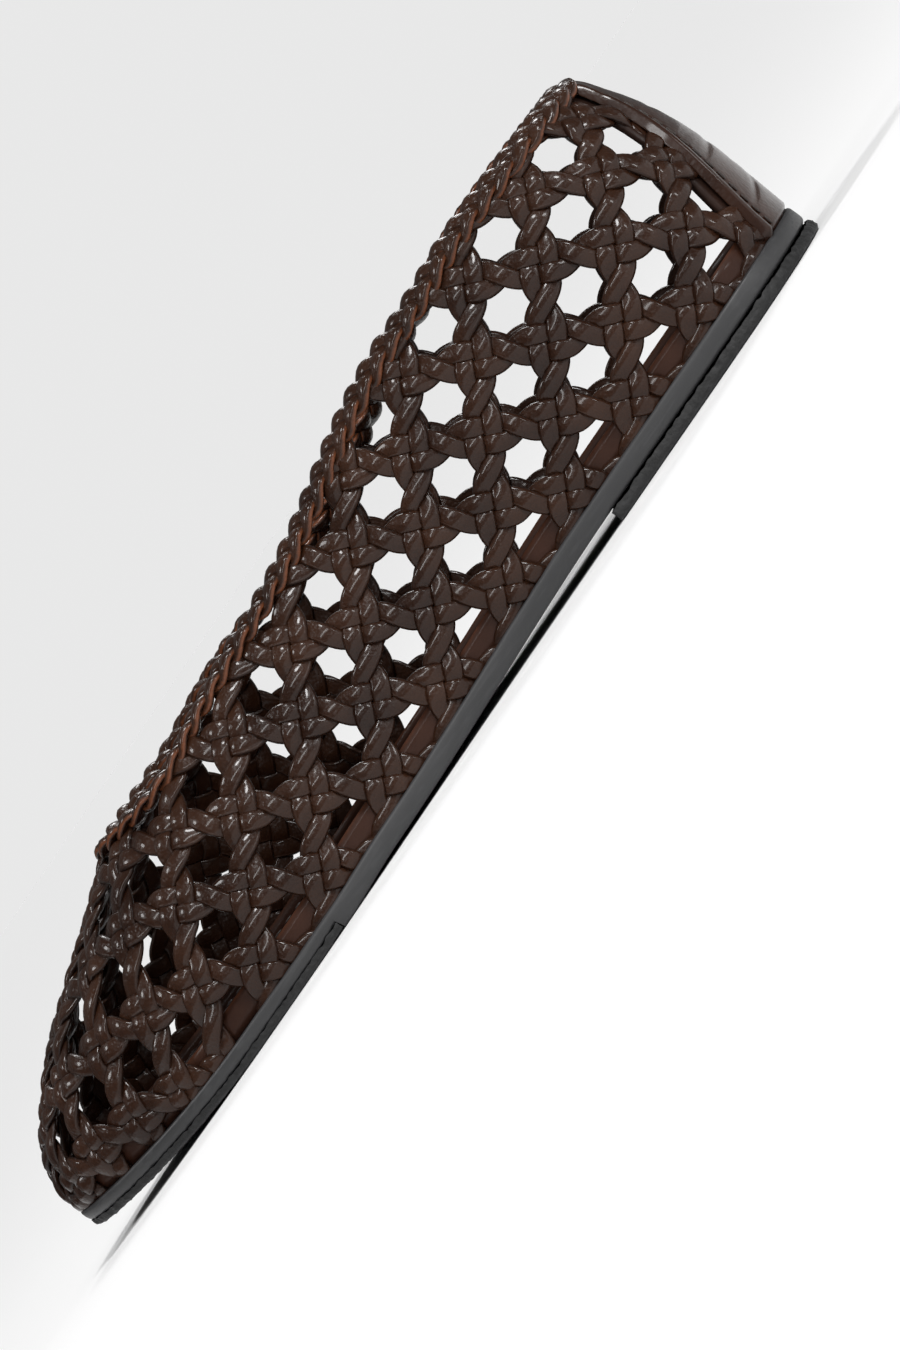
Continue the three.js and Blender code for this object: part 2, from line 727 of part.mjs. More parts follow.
function netSolid() {
  const knots = new Map();
  const lastStride = Math.ceil(shoeLength / strideAlong);
  const lastRow = Math.ceil(rowsToThroat) + 1;
  for (let stride = -lastRow; stride <= lastStride; stride += 1) {
    for (let row = -lastRow; row <= lastRow; row += 1) {
      const isKnot = (row + stride) % 2 === 0;
      if (isKnot && roomAt(row, stride) > pairWidth / 3) {
        knots.set(`${row},${stride}`, makeKnot(row, stride));
      }
    }
  }
  const triangles = [];
  for (const knot of knots.values()) {
    for (let k = 0; k < 4; k += 1) {
      const left = (k + 1) % 4;
      triangles.push([knot.centre, knot.outerCorners[k], knot.ridges[k]]);
      triangles.push([knot.centre, knot.ridges[k], knot.outerCorners[left]]);
      const start = leaving(knot, k);
      const other = knots.get(`${knot.row + directions[k][0]},${knot.stride + directions[k][1]}`);
      if (other && k < 2) {
        const middle = midSection(knot, k, 0.5);
        joinSections(triangles, start, middle);
        joinSections(triangles, middle, reversed(leaving(other, k + 2)));
      } else if (!other) {
        const share = shareInPanel(knot, k);
        if (share < shortestArm) {
          capSection(triangles, start);
        } else {
          const end = midSection(knot, k, share);
          joinSections(triangles, start, end);
          capSection(triangles, end);
        }
      }
    }
    const [a, b, c, d] = knot.innerCorners;
    addQuad(triangles, a, d, c, b);
  }
  return solidFrom(triangles);
}

const net = netSolid();
const band = lastingBand();
const rope = topRope();
const upper = band.add(counter).add(rope).add(net);
addPiece('upper', upper, 0x3e2d26, 0.35);

// The back strip lies over the counter and folds down inside over the top edge.
const stripGap = counterThickness + clearance;
const foldGap = -clearance;

function stripProfile(outside, inside, over) {
  const rising = counterProfile(outside);
  rising[0][1] = edgeMargin;
  return [...rising, [1, over, outside - over / 2], [1, over, inside + over / 2], [1, 0, inside],
    [1, -stripFold, inside]];
}

const backStrip = sheet(
  backGrid(stripProfile(stripGap + stripThickness, foldGap - stripThickness, clearance + stripThickness), 0),
  backGrid(stripProfile(stripGap, foldGap, clearance), 0),
);
addPiece('back_strip', backStrip, 0x3e2d26, 0.3);

const box = new THREE.Box3().setFromObject(shoe);
const middle = box.getCenter(new THREE.Vector3());
shoe.position.set(-middle.x, -middle.y, -box.min.z);

export default shoe;
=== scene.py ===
# %% [markdown]
# # A braided ballet flat
# This lesson dresses the plain solids of a low leather shoe. The solids hold every size and stay
# as they are. The looks are made here: interlaced leather strips, a plaited top edge, a stitched
# strip up the back and a crinkled rubber tread.
#
# A new piece must lie exactly where its solid lies. So the imported frame is loaded first.

# %% Load the frame
import math

import bmesh
import bpy
from mathutils import Matrix, Vector, noise


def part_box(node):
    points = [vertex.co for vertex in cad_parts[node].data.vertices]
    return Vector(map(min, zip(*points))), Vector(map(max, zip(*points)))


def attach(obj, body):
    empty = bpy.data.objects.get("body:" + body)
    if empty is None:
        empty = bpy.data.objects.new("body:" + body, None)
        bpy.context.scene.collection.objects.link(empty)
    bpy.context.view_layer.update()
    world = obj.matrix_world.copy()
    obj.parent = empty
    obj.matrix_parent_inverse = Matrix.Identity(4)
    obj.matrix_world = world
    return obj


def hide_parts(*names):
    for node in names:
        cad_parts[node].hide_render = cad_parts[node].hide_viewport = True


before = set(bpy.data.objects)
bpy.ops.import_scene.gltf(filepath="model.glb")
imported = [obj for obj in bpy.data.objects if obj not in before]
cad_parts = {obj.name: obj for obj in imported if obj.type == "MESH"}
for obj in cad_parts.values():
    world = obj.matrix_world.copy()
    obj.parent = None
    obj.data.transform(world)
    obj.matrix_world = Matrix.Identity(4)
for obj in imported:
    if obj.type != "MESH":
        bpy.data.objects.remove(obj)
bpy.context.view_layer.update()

MM = 0.001
print("nodes", sorted(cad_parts))

# %% [markdown]
# ## The camera
# The shoe is seen from its outer side, from a little behind, with the picture rolled so that the
# toe points to the lower left. The camera stands just above the floor, as low as it can.
#
# A camera could be placed by eye. Here it follows from four plain values, because each can then be
# compared with the picture by itself: the turn about the shoe, the rise, the roll and the scale. A
# long lens from far away keeps the lines of the sole almost parallel. The lens follows from the
# scale: pixels a millimetre, times the distance, is the focal length in pixels.

# %% Camera
IMAGE_HEIGHT = 1350
PIXELS_PER_MM = 5.05
CAMERA_DISTANCE = 1700
CAMERA_AZIMUTH = math.radians(96)
CAMERA_RISE = math.radians(1.6)
CAMERA_ROLL = math.radians(55.7)
SENSOR = 36
CLIP_END = 100
AIM = Vector((0.004, 0.008, 0.010))


def make_camera():
    data = bpy.data.cameras.new("camera")
    data.sensor_fit = "VERTICAL"
    data.sensor_height = SENSOR
    data.lens = PIXELS_PER_MM * CAMERA_DISTANCE * SENSOR / IMAGE_HEIGHT
    data.clip_end = CLIP_END
    camera = bpy.data.objects.new("camera", data)
    bpy.context.collection.objects.link(camera)
    level = math.cos(CAMERA_RISE)
    away = Vector((math.sin(CAMERA_AZIMUTH) * level, -math.cos(CAMERA_AZIMUTH) * level,
                   math.sin(CAMERA_RISE)))
    look = away.to_track_quat("Z", "Y").to_matrix().to_4x4()
    roll = Matrix.Rotation(-CAMERA_ROLL, 4, "Z")
    camera.matrix_world = Matrix.Translation(AIM + away * CAMERA_DISTANCE * MM) @ look @ roll
    bpy.context.scene.camera = camera
    print("lens", round(data.lens, 1), "mm")


make_camera()

# %% [markdown]
# ## Shader helpers
# A material is easier to read as a formula than as a list of nodes and links. `Value` wraps one
# output socket. Its operators add the Math nodes, so `mask * 0.2 + 0.3` is a small node tree, and
# the reflected forms make `1 - mask` work too.
#
# Every node comes from one method. It sets the node's own settings first, such as a ramp's stops,
# because they decide which sockets there are. Then it fills the sockets, by name or, where two
# sockets share a name, by number. Materials and the world use the same method.

# %% Socket arithmetic
class Value:
    def __init__(self, nodes, socket):
        self.nodes = nodes
        self.socket = socket

    def math(self, operation, first, second):
        return self.nodes.node("Math", settings={"operation": operation},
                               numbered={0: first, 1: second})

    def __add__(self, other):
        return self.math("ADD", self, other)

    def __radd__(self, other):
        return self.math("ADD", other, self)

    def __sub__(self, other):
        return self.math("SUBTRACT", self, other)

    def __rsub__(self, other):
        return self.math("SUBTRACT", other, self)

    def __mul__(self, other):
        return self.math("MULTIPLY", self, other)

    def __rmul__(self, other):
        return self.math("MULTIPLY", other, self)


def set_stops(color_ramp, stops):
    ends = color_ramp.elements
    ends[0].position, ends[0].color = stops[0]
    ends[1].position, ends[1].color = stops[-1]
    for position, colour in stops[1:-1]:
        ends.new(position).color = colour

# %% One method for every node
class Nodes:
    def __init__(self, tree):
        self.tree = tree

    def feed(self, socket, value):
        if isinstance(value, Value):
            self.tree.links.new(value.socket, socket)
        else:
            socket.default_value = value

    def node(self, kind, output=0, settings=None, numbered=None, **named):
        made = self.tree.nodes.new("ShaderNode" + kind)
        for key, value in (settings or {}).items():
            if key == "stops":
                set_stops(made.color_ramp, value)
            else:
                setattr(made, key, value)
        for key, value in named.items():
            self.feed(made.inputs[key.replace("_", " ")], value)
        for number, value in (numbered or {}).items():
            self.feed(made.inputs[number], value)
        return Value(self, made.outputs[output])

    def ramp(self, fac, stops):
        return self.node("ValToRGB", settings={"stops": stops}, Fac=fac)


class Finish(Nodes):
    def __init__(self, name):
        self.material = bpy.data.materials.new(name)
        self.material.use_nodes = True
        super().__init__(self.material.node_tree)
        self.shader = self.tree.nodes["Principled BSDF"]

    def set(self, **sockets):
        for key, value in sockets.items():
            self.feed(self.shader.inputs[key.replace("_", " ")], value)
        return self.material


def grey(value):
    return (value, value, value, 1)

# %% [markdown]
# ## The floor
# The shoe stands on a plain pale floor. A plane of a few metres would end in the picture, because the
# camera looks along it. So the floor is one wide disc, and its far rim is the horizon.

# %% Floor
FLOOR_RADIUS = 30
FLOOR_GREY = 0.95


def make_floor():
    bm = bmesh.new()
    bmesh.ops.create_circle(bm, cap_ends=True, segments=64, radius=FLOOR_RADIUS)
    mesh = bpy.data.meshes.new("floor")
    bm.to_mesh(mesh)
    bm.free()
    floor = bpy.data.objects.new("floor", mesh)
    bpy.context.collection.objects.link(floor)
    paint = Finish("pale_floor")
    mesh.materials.append(paint.set(Base_Color=grey(FLOOR_GREY), Roughness=1.0,
                                    Specular_IOR_Level=0.1))
    print("floor", 2 * FLOOR_RADIUS, "m across")


make_floor()

# %% [markdown]
# ## The light
# Leather and rubber are dark, so what shapes them is what they reflect. Area lamps alone would
# leave the far floor dark and show a hard horizon. So three wide suns light the whole floor
# evenly, each from another side, and two small bright lamps near the shoe put the hard highlights
# on the strips: a long low one along the side, and a small one behind the heel.

# %% Lamps
SUNS = [
    {"name": "sun_heel_side", "place": (1.1, 1.2, 2.0), "strength": 1.5, "spread": 12},
    {"name": "sun_toe_side", "place": (0.3, -1.2, 1.9), "strength": 0.8, "spread": 14},
    {"name": "sun_far_side", "place": (-1.6, 0.6, 1.4), "strength": 0.75, "spread": 14},
]
LAMPS = [
    {"name": "low_strip_lamp", "place": (1.25, 0.15, 0.75), "size": (1.5, 0.1), "watts": 8.0},
    {"name": "low_heel_lamp", "place": (0.9, 1.3, 0.3), "size": (0.12, 0.4), "watts": 3.4},
]


def aim_at_shoe(data, place):
    lamp = bpy.data.objects.new(data.name, data)
    lamp.location = place
    lamp.rotation_euler = (Vector(place) * -1).to_track_quat("-Z", "Y").to_euler()
    bpy.context.collection.objects.link(lamp)


def make_sun(name, place, strength, spread):
    data = bpy.data.lights.new(name, "SUN")
    data.energy = strength
    data.angle = math.radians(spread)
    aim_at_shoe(data, place)


def make_lamp(name, place, size, watts):
    data = bpy.data.lights.new(name, "AREA")
    data.shape = "RECTANGLE"
    data.size, data.size_y = size
    data.energy = watts
    aim_at_shoe(data, place)


for sun in SUNS:
    make_sun(**sun)
for lamp in LAMPS:
    make_lamp(**lamp)
print("lights", [light["name"] for light in SUNS + LAMPS])

# %% [markdown]
# The world has two jobs. What the camera sees of it is a pale grey that meets the far floor, so
# that the horizon nearly vanishes. What it sheds on the shoe is much weaker, or the dark leather
# would look washed out. The Light Path node tells the two apart.

# %% World
WORLD_SEEN = 0.81
WORLD_LIGHT = 0.13


def make_world():
    world = bpy.data.worlds.new("studio")
    bpy.context.scene.world = world
    world.use_nodes = True
    nodes = Nodes(world.node_tree)
    lit = nodes.node("Background", Color=grey(1), Strength=WORLD_LIGHT)
    seen = nodes.node("Background", Color=grey(1), Strength=WORLD_SEEN)
    by_camera = nodes.node("LightPath")
    blend = nodes.node("MixShader", numbered={0: by_camera, 1: lit, 2: seen})
    nodes.feed(world.node_tree.nodes["World Output"].inputs["Surface"], blend)


make_world()
bpy.context.scene.view_settings.view_transform = "Standard"
print("world seen at", WORLD_SEEN, "and lighting at", WORLD_LIGHT)

# %% [markdown]
# ## The last's shape
# A shoe is built over a last, a solid foot shape. The solids were made from a few named sizes of
# that last and from short tables. A new piece could be snapped to the solids' faces, but these are
# coarse. So the same sizes are written here again, in millimetres, with the same formulas, and
# each piece is worked out from them at its own fineness. "Along" runs from the back of the heel to
# the toe.

# %% Sizes
SHOE_LENGTH = 246
BALL_WIDTH = 82
WAIST_WIDTH = 53
HEEL_WIDTH = 59
TOE_INSET = 8
BEND_START = 0.45
BEND_SPAN = 0.6
TOE_ROUND = 54
TOE_POWER = 2.15
HEEL_ROUND = 30
HEEL_POWER = 2.2
BACK_HEIGHT = 57
THROAT_HEIGHT = 45
THROAT_ALONG = 181
THROAT_ROUND = 26
TOE_CENTRE = 200
HEEL_CENTRE = 45
SOLE_SIDE = 4.4
HEEL_STEP = 3
BREAST_ALONG = 67
LIFT_FLARE = 0.5
TOE_SPRING = 5.5
SPRING_START = 190
FLAT_START = 172
TREAD_END_RISE = 1.3
TREAD_THICKNESS = 1.8
WAIST_PROUD = 0.5
TREAD_OUTER = 162
TREAD_ARCH = 142
TREAD_INNER = 148
TREAD_END_SLANT = 3
INSOLE_THICKNESS = 3
CLEARANCE = 0.3
UPPER_INSET = 3.2
SQUARENESS = 0.8
HEEL_BULGE = 2.4
STRIDE = 11
ROWS_TO_THROAT = 6.5
STRIP_BOTTOM = 21
STRIP_TOP = 9
STRIP_TAPER = 1.5
COUNTER_THICKNESS = 1.6
STRIP_THICKNESS = 1.5
STRIP_FOLD = 10
ROPE_OUT = 1.2
OUTER = 1
INNER = -1
print("length to ball", round(SHOE_LENGTH / BALL_WIDTH, 2), "to 1")

# %% [markdown]
# Three tables carry the shape. The outline gives the half widths as shares of a named width, the
# spine gives the height that a closed shoe would have over the middle, and the topline gives how
# far out the opening's edge lies. Each row stands at a share of the length. A smooth curve through
# the rows gives every value between them.

# %% Tables
OUTLINE = [
    {"along": 0.0, "width": HEEL_WIDTH, "outer": 0.5, "inner": 0.5},
    {"along": 0.14, "width": HEEL_WIDTH, "outer": 0.5, "inner": 0.5},
    {"along": 0.27, "width": HEEL_WIDTH, "outer": 0.485, "inner": 0.465},
    {"along": 0.4, "width": WAIST_WIDTH, "outer": 0.53, "inner": 0.47},
    {"along": 0.53, "width": BALL_WIDTH, "outer": 0.395, "inner": 0.39},
    {"along": 0.66, "width": BALL_WIDTH, "outer": 0.475, "inner": 0.525},
    {"along": 0.76, "width": BALL_WIDTH, "outer": 0.485, "inner": 0.475},
    {"along": 0.88, "width": BALL_WIDTH, "outer": 0.425, "inner": 0.425},
    {"along": 1.0, "width": BALL_WIDTH, "outer": 0.39, "inner": 0.39},
]
SPINE = [
    {"along": 0.0, "height": BACK_HEIGHT, "share": 1.72},
    {"along": 0.18, "height": BACK_HEIGHT, "share": 1.66},
    {"along": 0.28, "height": BACK_HEIGHT, "share": 1.54},
    {"along": 0.45, "height": BACK_HEIGHT, "share": 1.16},
    {"along": 0.6, "height": THROAT_HEIGHT, "share": 1.2},
    {"along": 0.74, "height": THROAT_HEIGHT, "share": 0.98},
    {"along": 0.81, "height": THROAT_HEIGHT, "share": 0.85},
    {"along": 0.92, "height": THROAT_HEIGHT, "share": 0.7},
    {"along": 1.0, "height": THROAT_HEIGHT, "share": 0.62},
]
TOPLINE = [
    {"along": 0.0, "outer": 0.09, "inner": 0.09},
    {"along": 0.16, "outer": 0.105, "inner": 0.105},
    {"along": 0.25, "outer": 0.115, "inner": 0.11},
    {"along": 0.45, "outer": 0.2, "inner": 0.17},
    {"along": 0.62, "outer": 0.33, "inner": 0.4},
    {"along": 0.74, "outer": 0.38, "inner": 0.47},
]
print("rows", len(OUTLINE), len(SPINE), len(TOPLINE))

# %% [markdown]
# The curve is worked out by hand, and not with a library, so that it gives the very same values as
# the solids' source does. Its slope at a row comes from the two neighbours, so it passes the row
# without a kink. `round_end` closes the outline at heel and toe.

# %% Curves through the tables
def clamp(value, low=0.0, high=1.0):
    return max(low, min(high, value))


def smooth(value):
    share = clamp(value)
    return share * share * (3 - 2 * share)


def mix(a, b, share):
    return a + (b - a) * share


def curve_through(places, values):
    last = len(places) - 1
    slopes = []
    for k in range(len(places)):
        before, after = max(k - 1, 0), min(k + 1, last)
        slopes.append((values[after] - values[before]) / (places[after] - places[before]))

    def curve(place):
        k = 0
        while k < last - 1 and place > places[k + 1]:
            k += 1
        span = places[k + 1] - places[k]
        u = clamp((place - places[k]) / span)
        u2, u3 = u * u, u * u * u
        start = (2 * u3 - 3 * u2 + 1) * values[k] + (u3 - 2 * u2 + u) * span * slopes[k]
        return start + (3 * u2 - 2 * u3) * values[k + 1] + (u3 - u2) * span * slopes[k + 1]

    return curve


def along_curve(rows, read):
    curve = curve_through([row["along"] for row in rows], [read(row) for row in rows])
    return lambda along: curve(along / SHOE_LENGTH)


def round_end(distance, length, power):
    share = 1 - clamp(distance / length)
    return (1 - share ** power) ** (1 / power)


half_width = {
    OUTER: along_curve(OUTLINE, lambda row: row["width"] * row["outer"]),
    INNER: along_curve(OUTLINE, lambda row: row["width"] * row["inner"]),
}
spine_height = along_curve(SPINE, lambda row: row["height"] * row["share"])
topline_share = {
    OUTER: along_curve(TOPLINE, lambda row: row["outer"]),
    INNER: along_curve(TOPLINE, lambda row: row["inner"]),
}
print("spine over the throat", round(spine_height(THROAT_ALONG), 1), "mm")

# %% [markdown]
# The sole's outline has two round ends and a middle line that bends inward at the toe. Its underside
# has three parts: the seat of the heel lift, the waist that slopes down from it, and the forefoot,
# which rises a little at its rear edge, lies flat under the ball and springs up at the toe.

# %% Outline and heights of the sole
def centre_x(along):
    return -TOE_INSET * smooth((along / SHOE_LENGTH - BEND_START) / BEND_SPAN)


def edge_plan(side, along):
    heel = round_end(along, HEEL_ROUND, HEEL_POWER)
    toe = round_end(SHOE_LENGTH - along, TOE_ROUND, TOE_POWER)
    return Vector((centre_x(along) + side * half_width[side](along) * heel * toe, -along))


def tread_bottom(along):
    rear = TREAD_END_RISE * (1 - smooth((along - TREAD_ARCH) / (FLAT_START - TREAD_ARCH)))
    front = max(0, (along - SPRING_START) / (SHOE_LENGTH - SPRING_START))
    return rear + TOE_SPRING * front * front


def waist_bottom(along):
    front = max(tread_bottom(max(along, TREAD_ARCH)) - WAIST_PROUD, 0)
    return mix(HEEL_STEP, front, smooth((along - BREAST_ALONG) / (TREAD_ARCH - BREAST_ALONG)))


def sole_top(along):
    ahead = smooth((along - TREAD_ARCH) / (SPRING_START - TREAD_ARCH))
    return SOLE_SIDE + mix(waist_bottom(along), tread_bottom(along) + CLEARANCE, ahead)


print("sole's top at the heel", round(sole_top(0), 1), "and at the toe", round(sole_top(SHOE_LENGTH), 1))

# %% [markdown]
# ## The ring and the wall
# The upper is a wall that follows the sole's edge all round and leans in over the foot. Two
# distances name every place on it, as on a map: "around" runs along the edge from the toe tip,
# positive on the outer side and negative on the inner side, and "up" runs over the wall from the
# sole. Both are true lengths in millimetres, so a strip that is 3.9 mm wide on the map is 3.9 mm
# wide on the shoe. A table of lengths turns a distance round the edge into a share of the length.

# %% The ring
RING_SAMPLES = 360
PROBE = 0.4
QUARTER = math.pi / 2


def measure_side(side):
    table = [(0.0, float(SHOE_LENGTH))]
    last, around = edge_plan(side, SHOE_LENGTH), 0.0
    for k in range(1, RING_SAMPLES + 1):
        along = SHOE_LENGTH * (1 + math.cos(math.pi * k / RING_SAMPLES)) / 2
        here = edge_plan(side, along)
        around += (here - last).length
        table.append((around, along))
        last = here
    return table


ring = {OUTER: measure_side(OUTER), INNER: measure_side(INNER)}
side_length = {side: ring[side][-1][0] for side in (OUTER, INNER)}


def look_up(table, source, target, value):
    low, high = 0, len(table) - 1
    rising = table[high][source] > table[low][source]
    while high - low > 1:
        middle = (low + high) // 2
        if (table[middle][source] < value) == rising:
            low = middle
        else:
            high = middle
    span = table[high][source] - table[low][source]
    share = 0 if span == 0 else (value - table[low][source]) / span
    return mix(table[low][target], table[high][target], share)


def place_on_ring(around):
    side = OUTER if around >= 0 else INNER
    if abs(around) <= side_length[side]:
        return side, look_up(ring[side], 0, 1, abs(around))
    left = side_length[-side] - (abs(around) - side_length[side])
    return -side, look_up(ring[-side], 0, 1, left)


def around_at(side, along):
    return side * look_up(ring[side], 1, 0, along)


def ring_plan(around, inset):
    point = edge_plan(*place_on_ring(around))
    run = edge_plan(*place_on_ring(around + PROBE)) - edge_plan(*place_on_ring(around - PROBE))
    run.normalize()
    return point - Vector((run.y, -run.x)) * inset


print("edge", {side: round(length, 1) for side, length in side_length.items()})

# %% [markdown]
# A station is one profile of the wall: it rises from the sole and leans towards the middle, on a
# squarish ellipse. At the two round ends the profiles close in a fan about a centre. There is a
# station for each whole millimetre of the ring. It is worked out once and kept, because the net
# asks for the same ones many thousand times.

# %% Wall stations
PROFILE_STEPS = 36


def topline_angle(side, along):
    if along >= THROAT_ALONG:
        return QUARTER
    is_open = (1 - topline_share[side](along)) * round_end(THROAT_ALONG - along, THROAT_ROUND, 2)
    return math.acos(is_open ** (1 / SQUARENESS))


stations = {}


def station(number):
    if number in stations:
        return stations[number]
    side, along = place_on_ring(number)
    foot = ring_plan(number, UPPER_INSET)
    fan = clamp(along, HEEL_CENTRE, TOE_CENTRE)
    inward = Vector((centre_x(fan), -fan)) - foot
    unit = inward.normalized()
    top_angle = topline_angle(side, along)
    fade = smooth((along - HEEL_CENTRE) / (THROAT_ALONG - HEEL_CENTRE))
    base = sole_top(-foot.y) + CLEARANCE
    points, lengths = [], [0.0]
    for k in range(PROFILE_STEPS + 1):
        angle = QUARTER * k / PROFILE_STEPS
        share = 1 - max(math.cos(angle), 0) ** SQUARENESS
        out = HEEL_BULGE * (1 - fade) * math.sin(math.pi * min(angle / top_angle, 1))
        plan = foot + inward * share - unit * out
        rise = (spine_height(-plan.y) - base) * math.sin(angle) ** SQUARENESS
        points.append(Vector((plan.x, plan.y, base + rise)))
        if k:
            lengths.append(lengths[-1] + (points[-1] - points[-2]).length)
    place = top_angle / QUARTER * PROFILE_STEPS
    k = min(int(place), PROFILE_STEPS - 1)
    top = mix(lengths[k], lengths[k + 1], place - k)
    stations[number] = {"points": points, "lengths": lengths, "top": top}
    return stations[number]


beside_heel = station(round(around_at(OUTER, HEEL_CENTRE)))
print("top edge beside the heel", round(beside_heel["top"], 1), "mm over the sole")

# %% Places on the wall
def on_profile(found, up):
    points, lengths = found["points"], found["lengths"]
    if up <= 0:
        return points[0] + Vector((0, 0, up))
    reach = min(up, lengths[-1])
    k = 0
    while k < PROFILE_STEPS - 1 and lengths[k + 1] < reach:
        k += 1
    return points[k].lerp(points[k + 1], (reach - lengths[k]) / (lengths[k + 1] - lengths[k]))


def between_stations(around, read):
    low = math.floor(around)
    return read(station(low)), read(station(low + 1)), around - low


def wall_point(around, up):
    a, b, share = between_stations(around, lambda found: on_profile(found, up))
    return a.lerp(b, share)


def girth(around):
    return mix(*between_stations(around, lambda found: found["lengths"][-1]))


def topline_up(around):
    return mix(*between_stations(around, lambda found: found["top"]))


def wall_normal(around, up):
    run = wall_point(around + 1, up) - wall_point(around - 1, up)
    rise = wall_point(around, up + 1) - wall_point(around, up - 1)
    return run.cross(rise).normalized()


def on_wall(around, up, depth):
    return wall_point(around, up) + wall_normal(around, up) * depth


BACK_TOP = topline_up(side_length[OUTER])


def strip_half_width(up):
    return mix(STRIP_BOTTOM, STRIP_TOP, clamp(up / BACK_TOP) ** STRIP_TAPER)


print("top edge over the sole at the back", round(BACK_TOP, 1), "mm")

# %% [markdown]
# ## From the last to the frame
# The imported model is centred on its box, while the sizes above start at the heel. Two edges of
# the outsole give the shift between them, so a point in millimetres becomes a place in metres.

# %% From the last to the frame
sole_low, sole_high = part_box("outsole")
inner_reach = min(edge_plan(INNER, along).x for along in range(SHOE_LENGTH))
SHIFT = Vector((sole_low[0] / MM - inner_reach, sole_high[1] / MM, 0))


def to_frame(point):
    return (point + SHIFT) * MM


print("shift in mm", tuple(round(value, 2) for value in SHIFT))

# %% [markdown]
# ## Leather
# The strips are smooth dark brown leather with a satin finish. They are cut, so their edges show a
# raw orange brown. An image of leather would slide or stretch on so many bent strips. A pattern on
# Object coordinates doesn't, and it has no seams. These are metres, so the noise scales are large
# numbers.
#
# Three patterns share the work. Slow blotches vary the colour and the roughness, pores and wrinkles go
# into the bump, and the attribute "mark", which each mesh below carries, tells how near a vertex is to a
# cut or worn place, and on the net's strips how near it is to an edge. There the ramp
# `raw_edge_wear_and_shade` shows the second colour: the raw edge on the plait, the back strip and the
# band, the wear on the sock, and on the net's strips a painted shade, a darker brown where they dip
# between their neighbours. A thin clear coat gives the small hard highlights over the softer sheen of the
# leather itself.

# %% Leather finish
def leather(name, dark, light, edge, roughness, grain, depth, coat):
    finish = Finish(name)
    place = finish.node("TexCoord", output=3)
    mark = finish.node("Attribute", output=2, settings={"attribute_name": "mark"})
    blotch = finish.node("TexNoise", Vector=place, Scale=70.0, Detail=3.0)
    pores = finish.node("TexVoronoi", Vector=place, Scale=float(grain))
    wrinkle = finish.node("TexNoise", Vector=place, Scale=grain / 2.6, Detail=4.0)
    tone = finish.ramp(blotch, [(0.3, (*dark, 1)), (0.7, (*light, 1))])
    # The second colour is the raw edge, the wear of the sock, and on the net's strips a painted shade
    # along their edges.
    raw_edge_wear_and_shade = finish.ramp(mark * 0.8 + wrinkle * 0.4, [(0.72, grey(0)), (0.98, grey(1))])
    colour = finish.node("Mix", output=2, settings={"data_type": "RGBA"},
                         numbered={0: raw_edge_wear_and_shade, 6: tone, 7: (*edge, 1)})
    rim = finish.ramp(mark, [(0.15, grey(0)), (0.42, grey(1)), (0.75, grey(0.3))])
    height = pores * 0.5 + wrinkle * 1.3 + rim * 0.8
    bump = finish.node("Bump", Height=height, Strength=0.7, Distance=depth)
    rough = blotch * 0.2 + wrinkle * 0.14 + (roughness - 0.17) + mark * 0.12
    return finish.set(Base_Color=colour, Roughness=rough, Normal=bump, Coat_Weight=coat,
                      Coat_Roughness=0.12, Specular_IOR_Level=0.16)

# %% [markdown]
# Six leathers of one shoe differ only a little, so one function makes them all. The net's strips get a
# darker brown at their edges, a painted shade where they dip between their neighbours, and the plait and
# the back strip show their raw edges. The lining and the sock are duller, because they are not polished,
# and the band under the net lies in the shade and is a little lighter.

# %% Six leathers
BROWN_DARK = (0.0158, 0.0054, 0.0024)
BROWN_LIGHT = (0.038, 0.0142, 0.0064)
RAW_EDGE = (0.150, 0.047, 0.018)
# The net's second colour is a painted shade: a darker brown along the strips' edges, where they dip
# between their neighbours.
braid_leather = leather("braid_leather", BROWN_DARK, BROWN_LIGHT, (0.010, 0.0036, 0.0018), 0.34,
                        grain=1450.0, depth=0.0003, coat=0.38)
plait_leather = leather("plait_leather", BROWN_DARK, BROWN_LIGHT, RAW_EDGE, 0.34,
                        grain=1450.0, depth=0.0003, coat=0.38)
strip_leather = leather("strip_leather", (0.016, 0.0058, 0.0030), (0.034, 0.0130, 0.0068),
                        RAW_EDGE, 0.32, grain=1250.0, depth=0.00013, coat=0.4)
lining_leather = leather("lining_leather", (0.016, 0.0076, 0.0052), (0.028, 0.0130, 0.0088),
                         (0.020, 0.0090, 0.0060), 0.5, grain=1300.0, depth=0.00006, coat=0.05)
sock_leather = leather("sock_leather", (0.030, 0.0125, 0.0078), (0.050, 0.0215, 0.0132),
                       (0.018, 0.0080, 0.0050), 0.46, grain=1100.0, depth=0.00007, coat=0.08)
band_leather = leather("band_leather", (0.028, 0.0104, 0.0058), (0.046, 0.0176, 0.0100),
                       (0.060, 0.0200, 0.0090), 0.46, grain=1000.0, depth=0.00008, coat=0.08)
print("leathers", len([m for m in bpy.data.materials if m.name.endswith("leather")]))

# %% [markdown]
# ## Rubber and thread
# The sole is one smooth moulding, nearly black, with a soft cloud of lighter rubber and with fine
# scuffs, drawn out along the shoe, which are rougher than the rest. A noise is stretched by
# multiplying the coordinates that it reads, by another number in each direction.
#
# The tread and the heel lift have their crinkle in the mesh. There the "mark" is the depth of the valley,
# and the finish paints shade into the valleys, colouring them darker. It also makes them duller and adds
# finer folds. The thread is a waxed brown yarn, with just enough noise to look twisted.

# %% Rubber finish
SCUFF_STRETCH = (12, 1, 14)


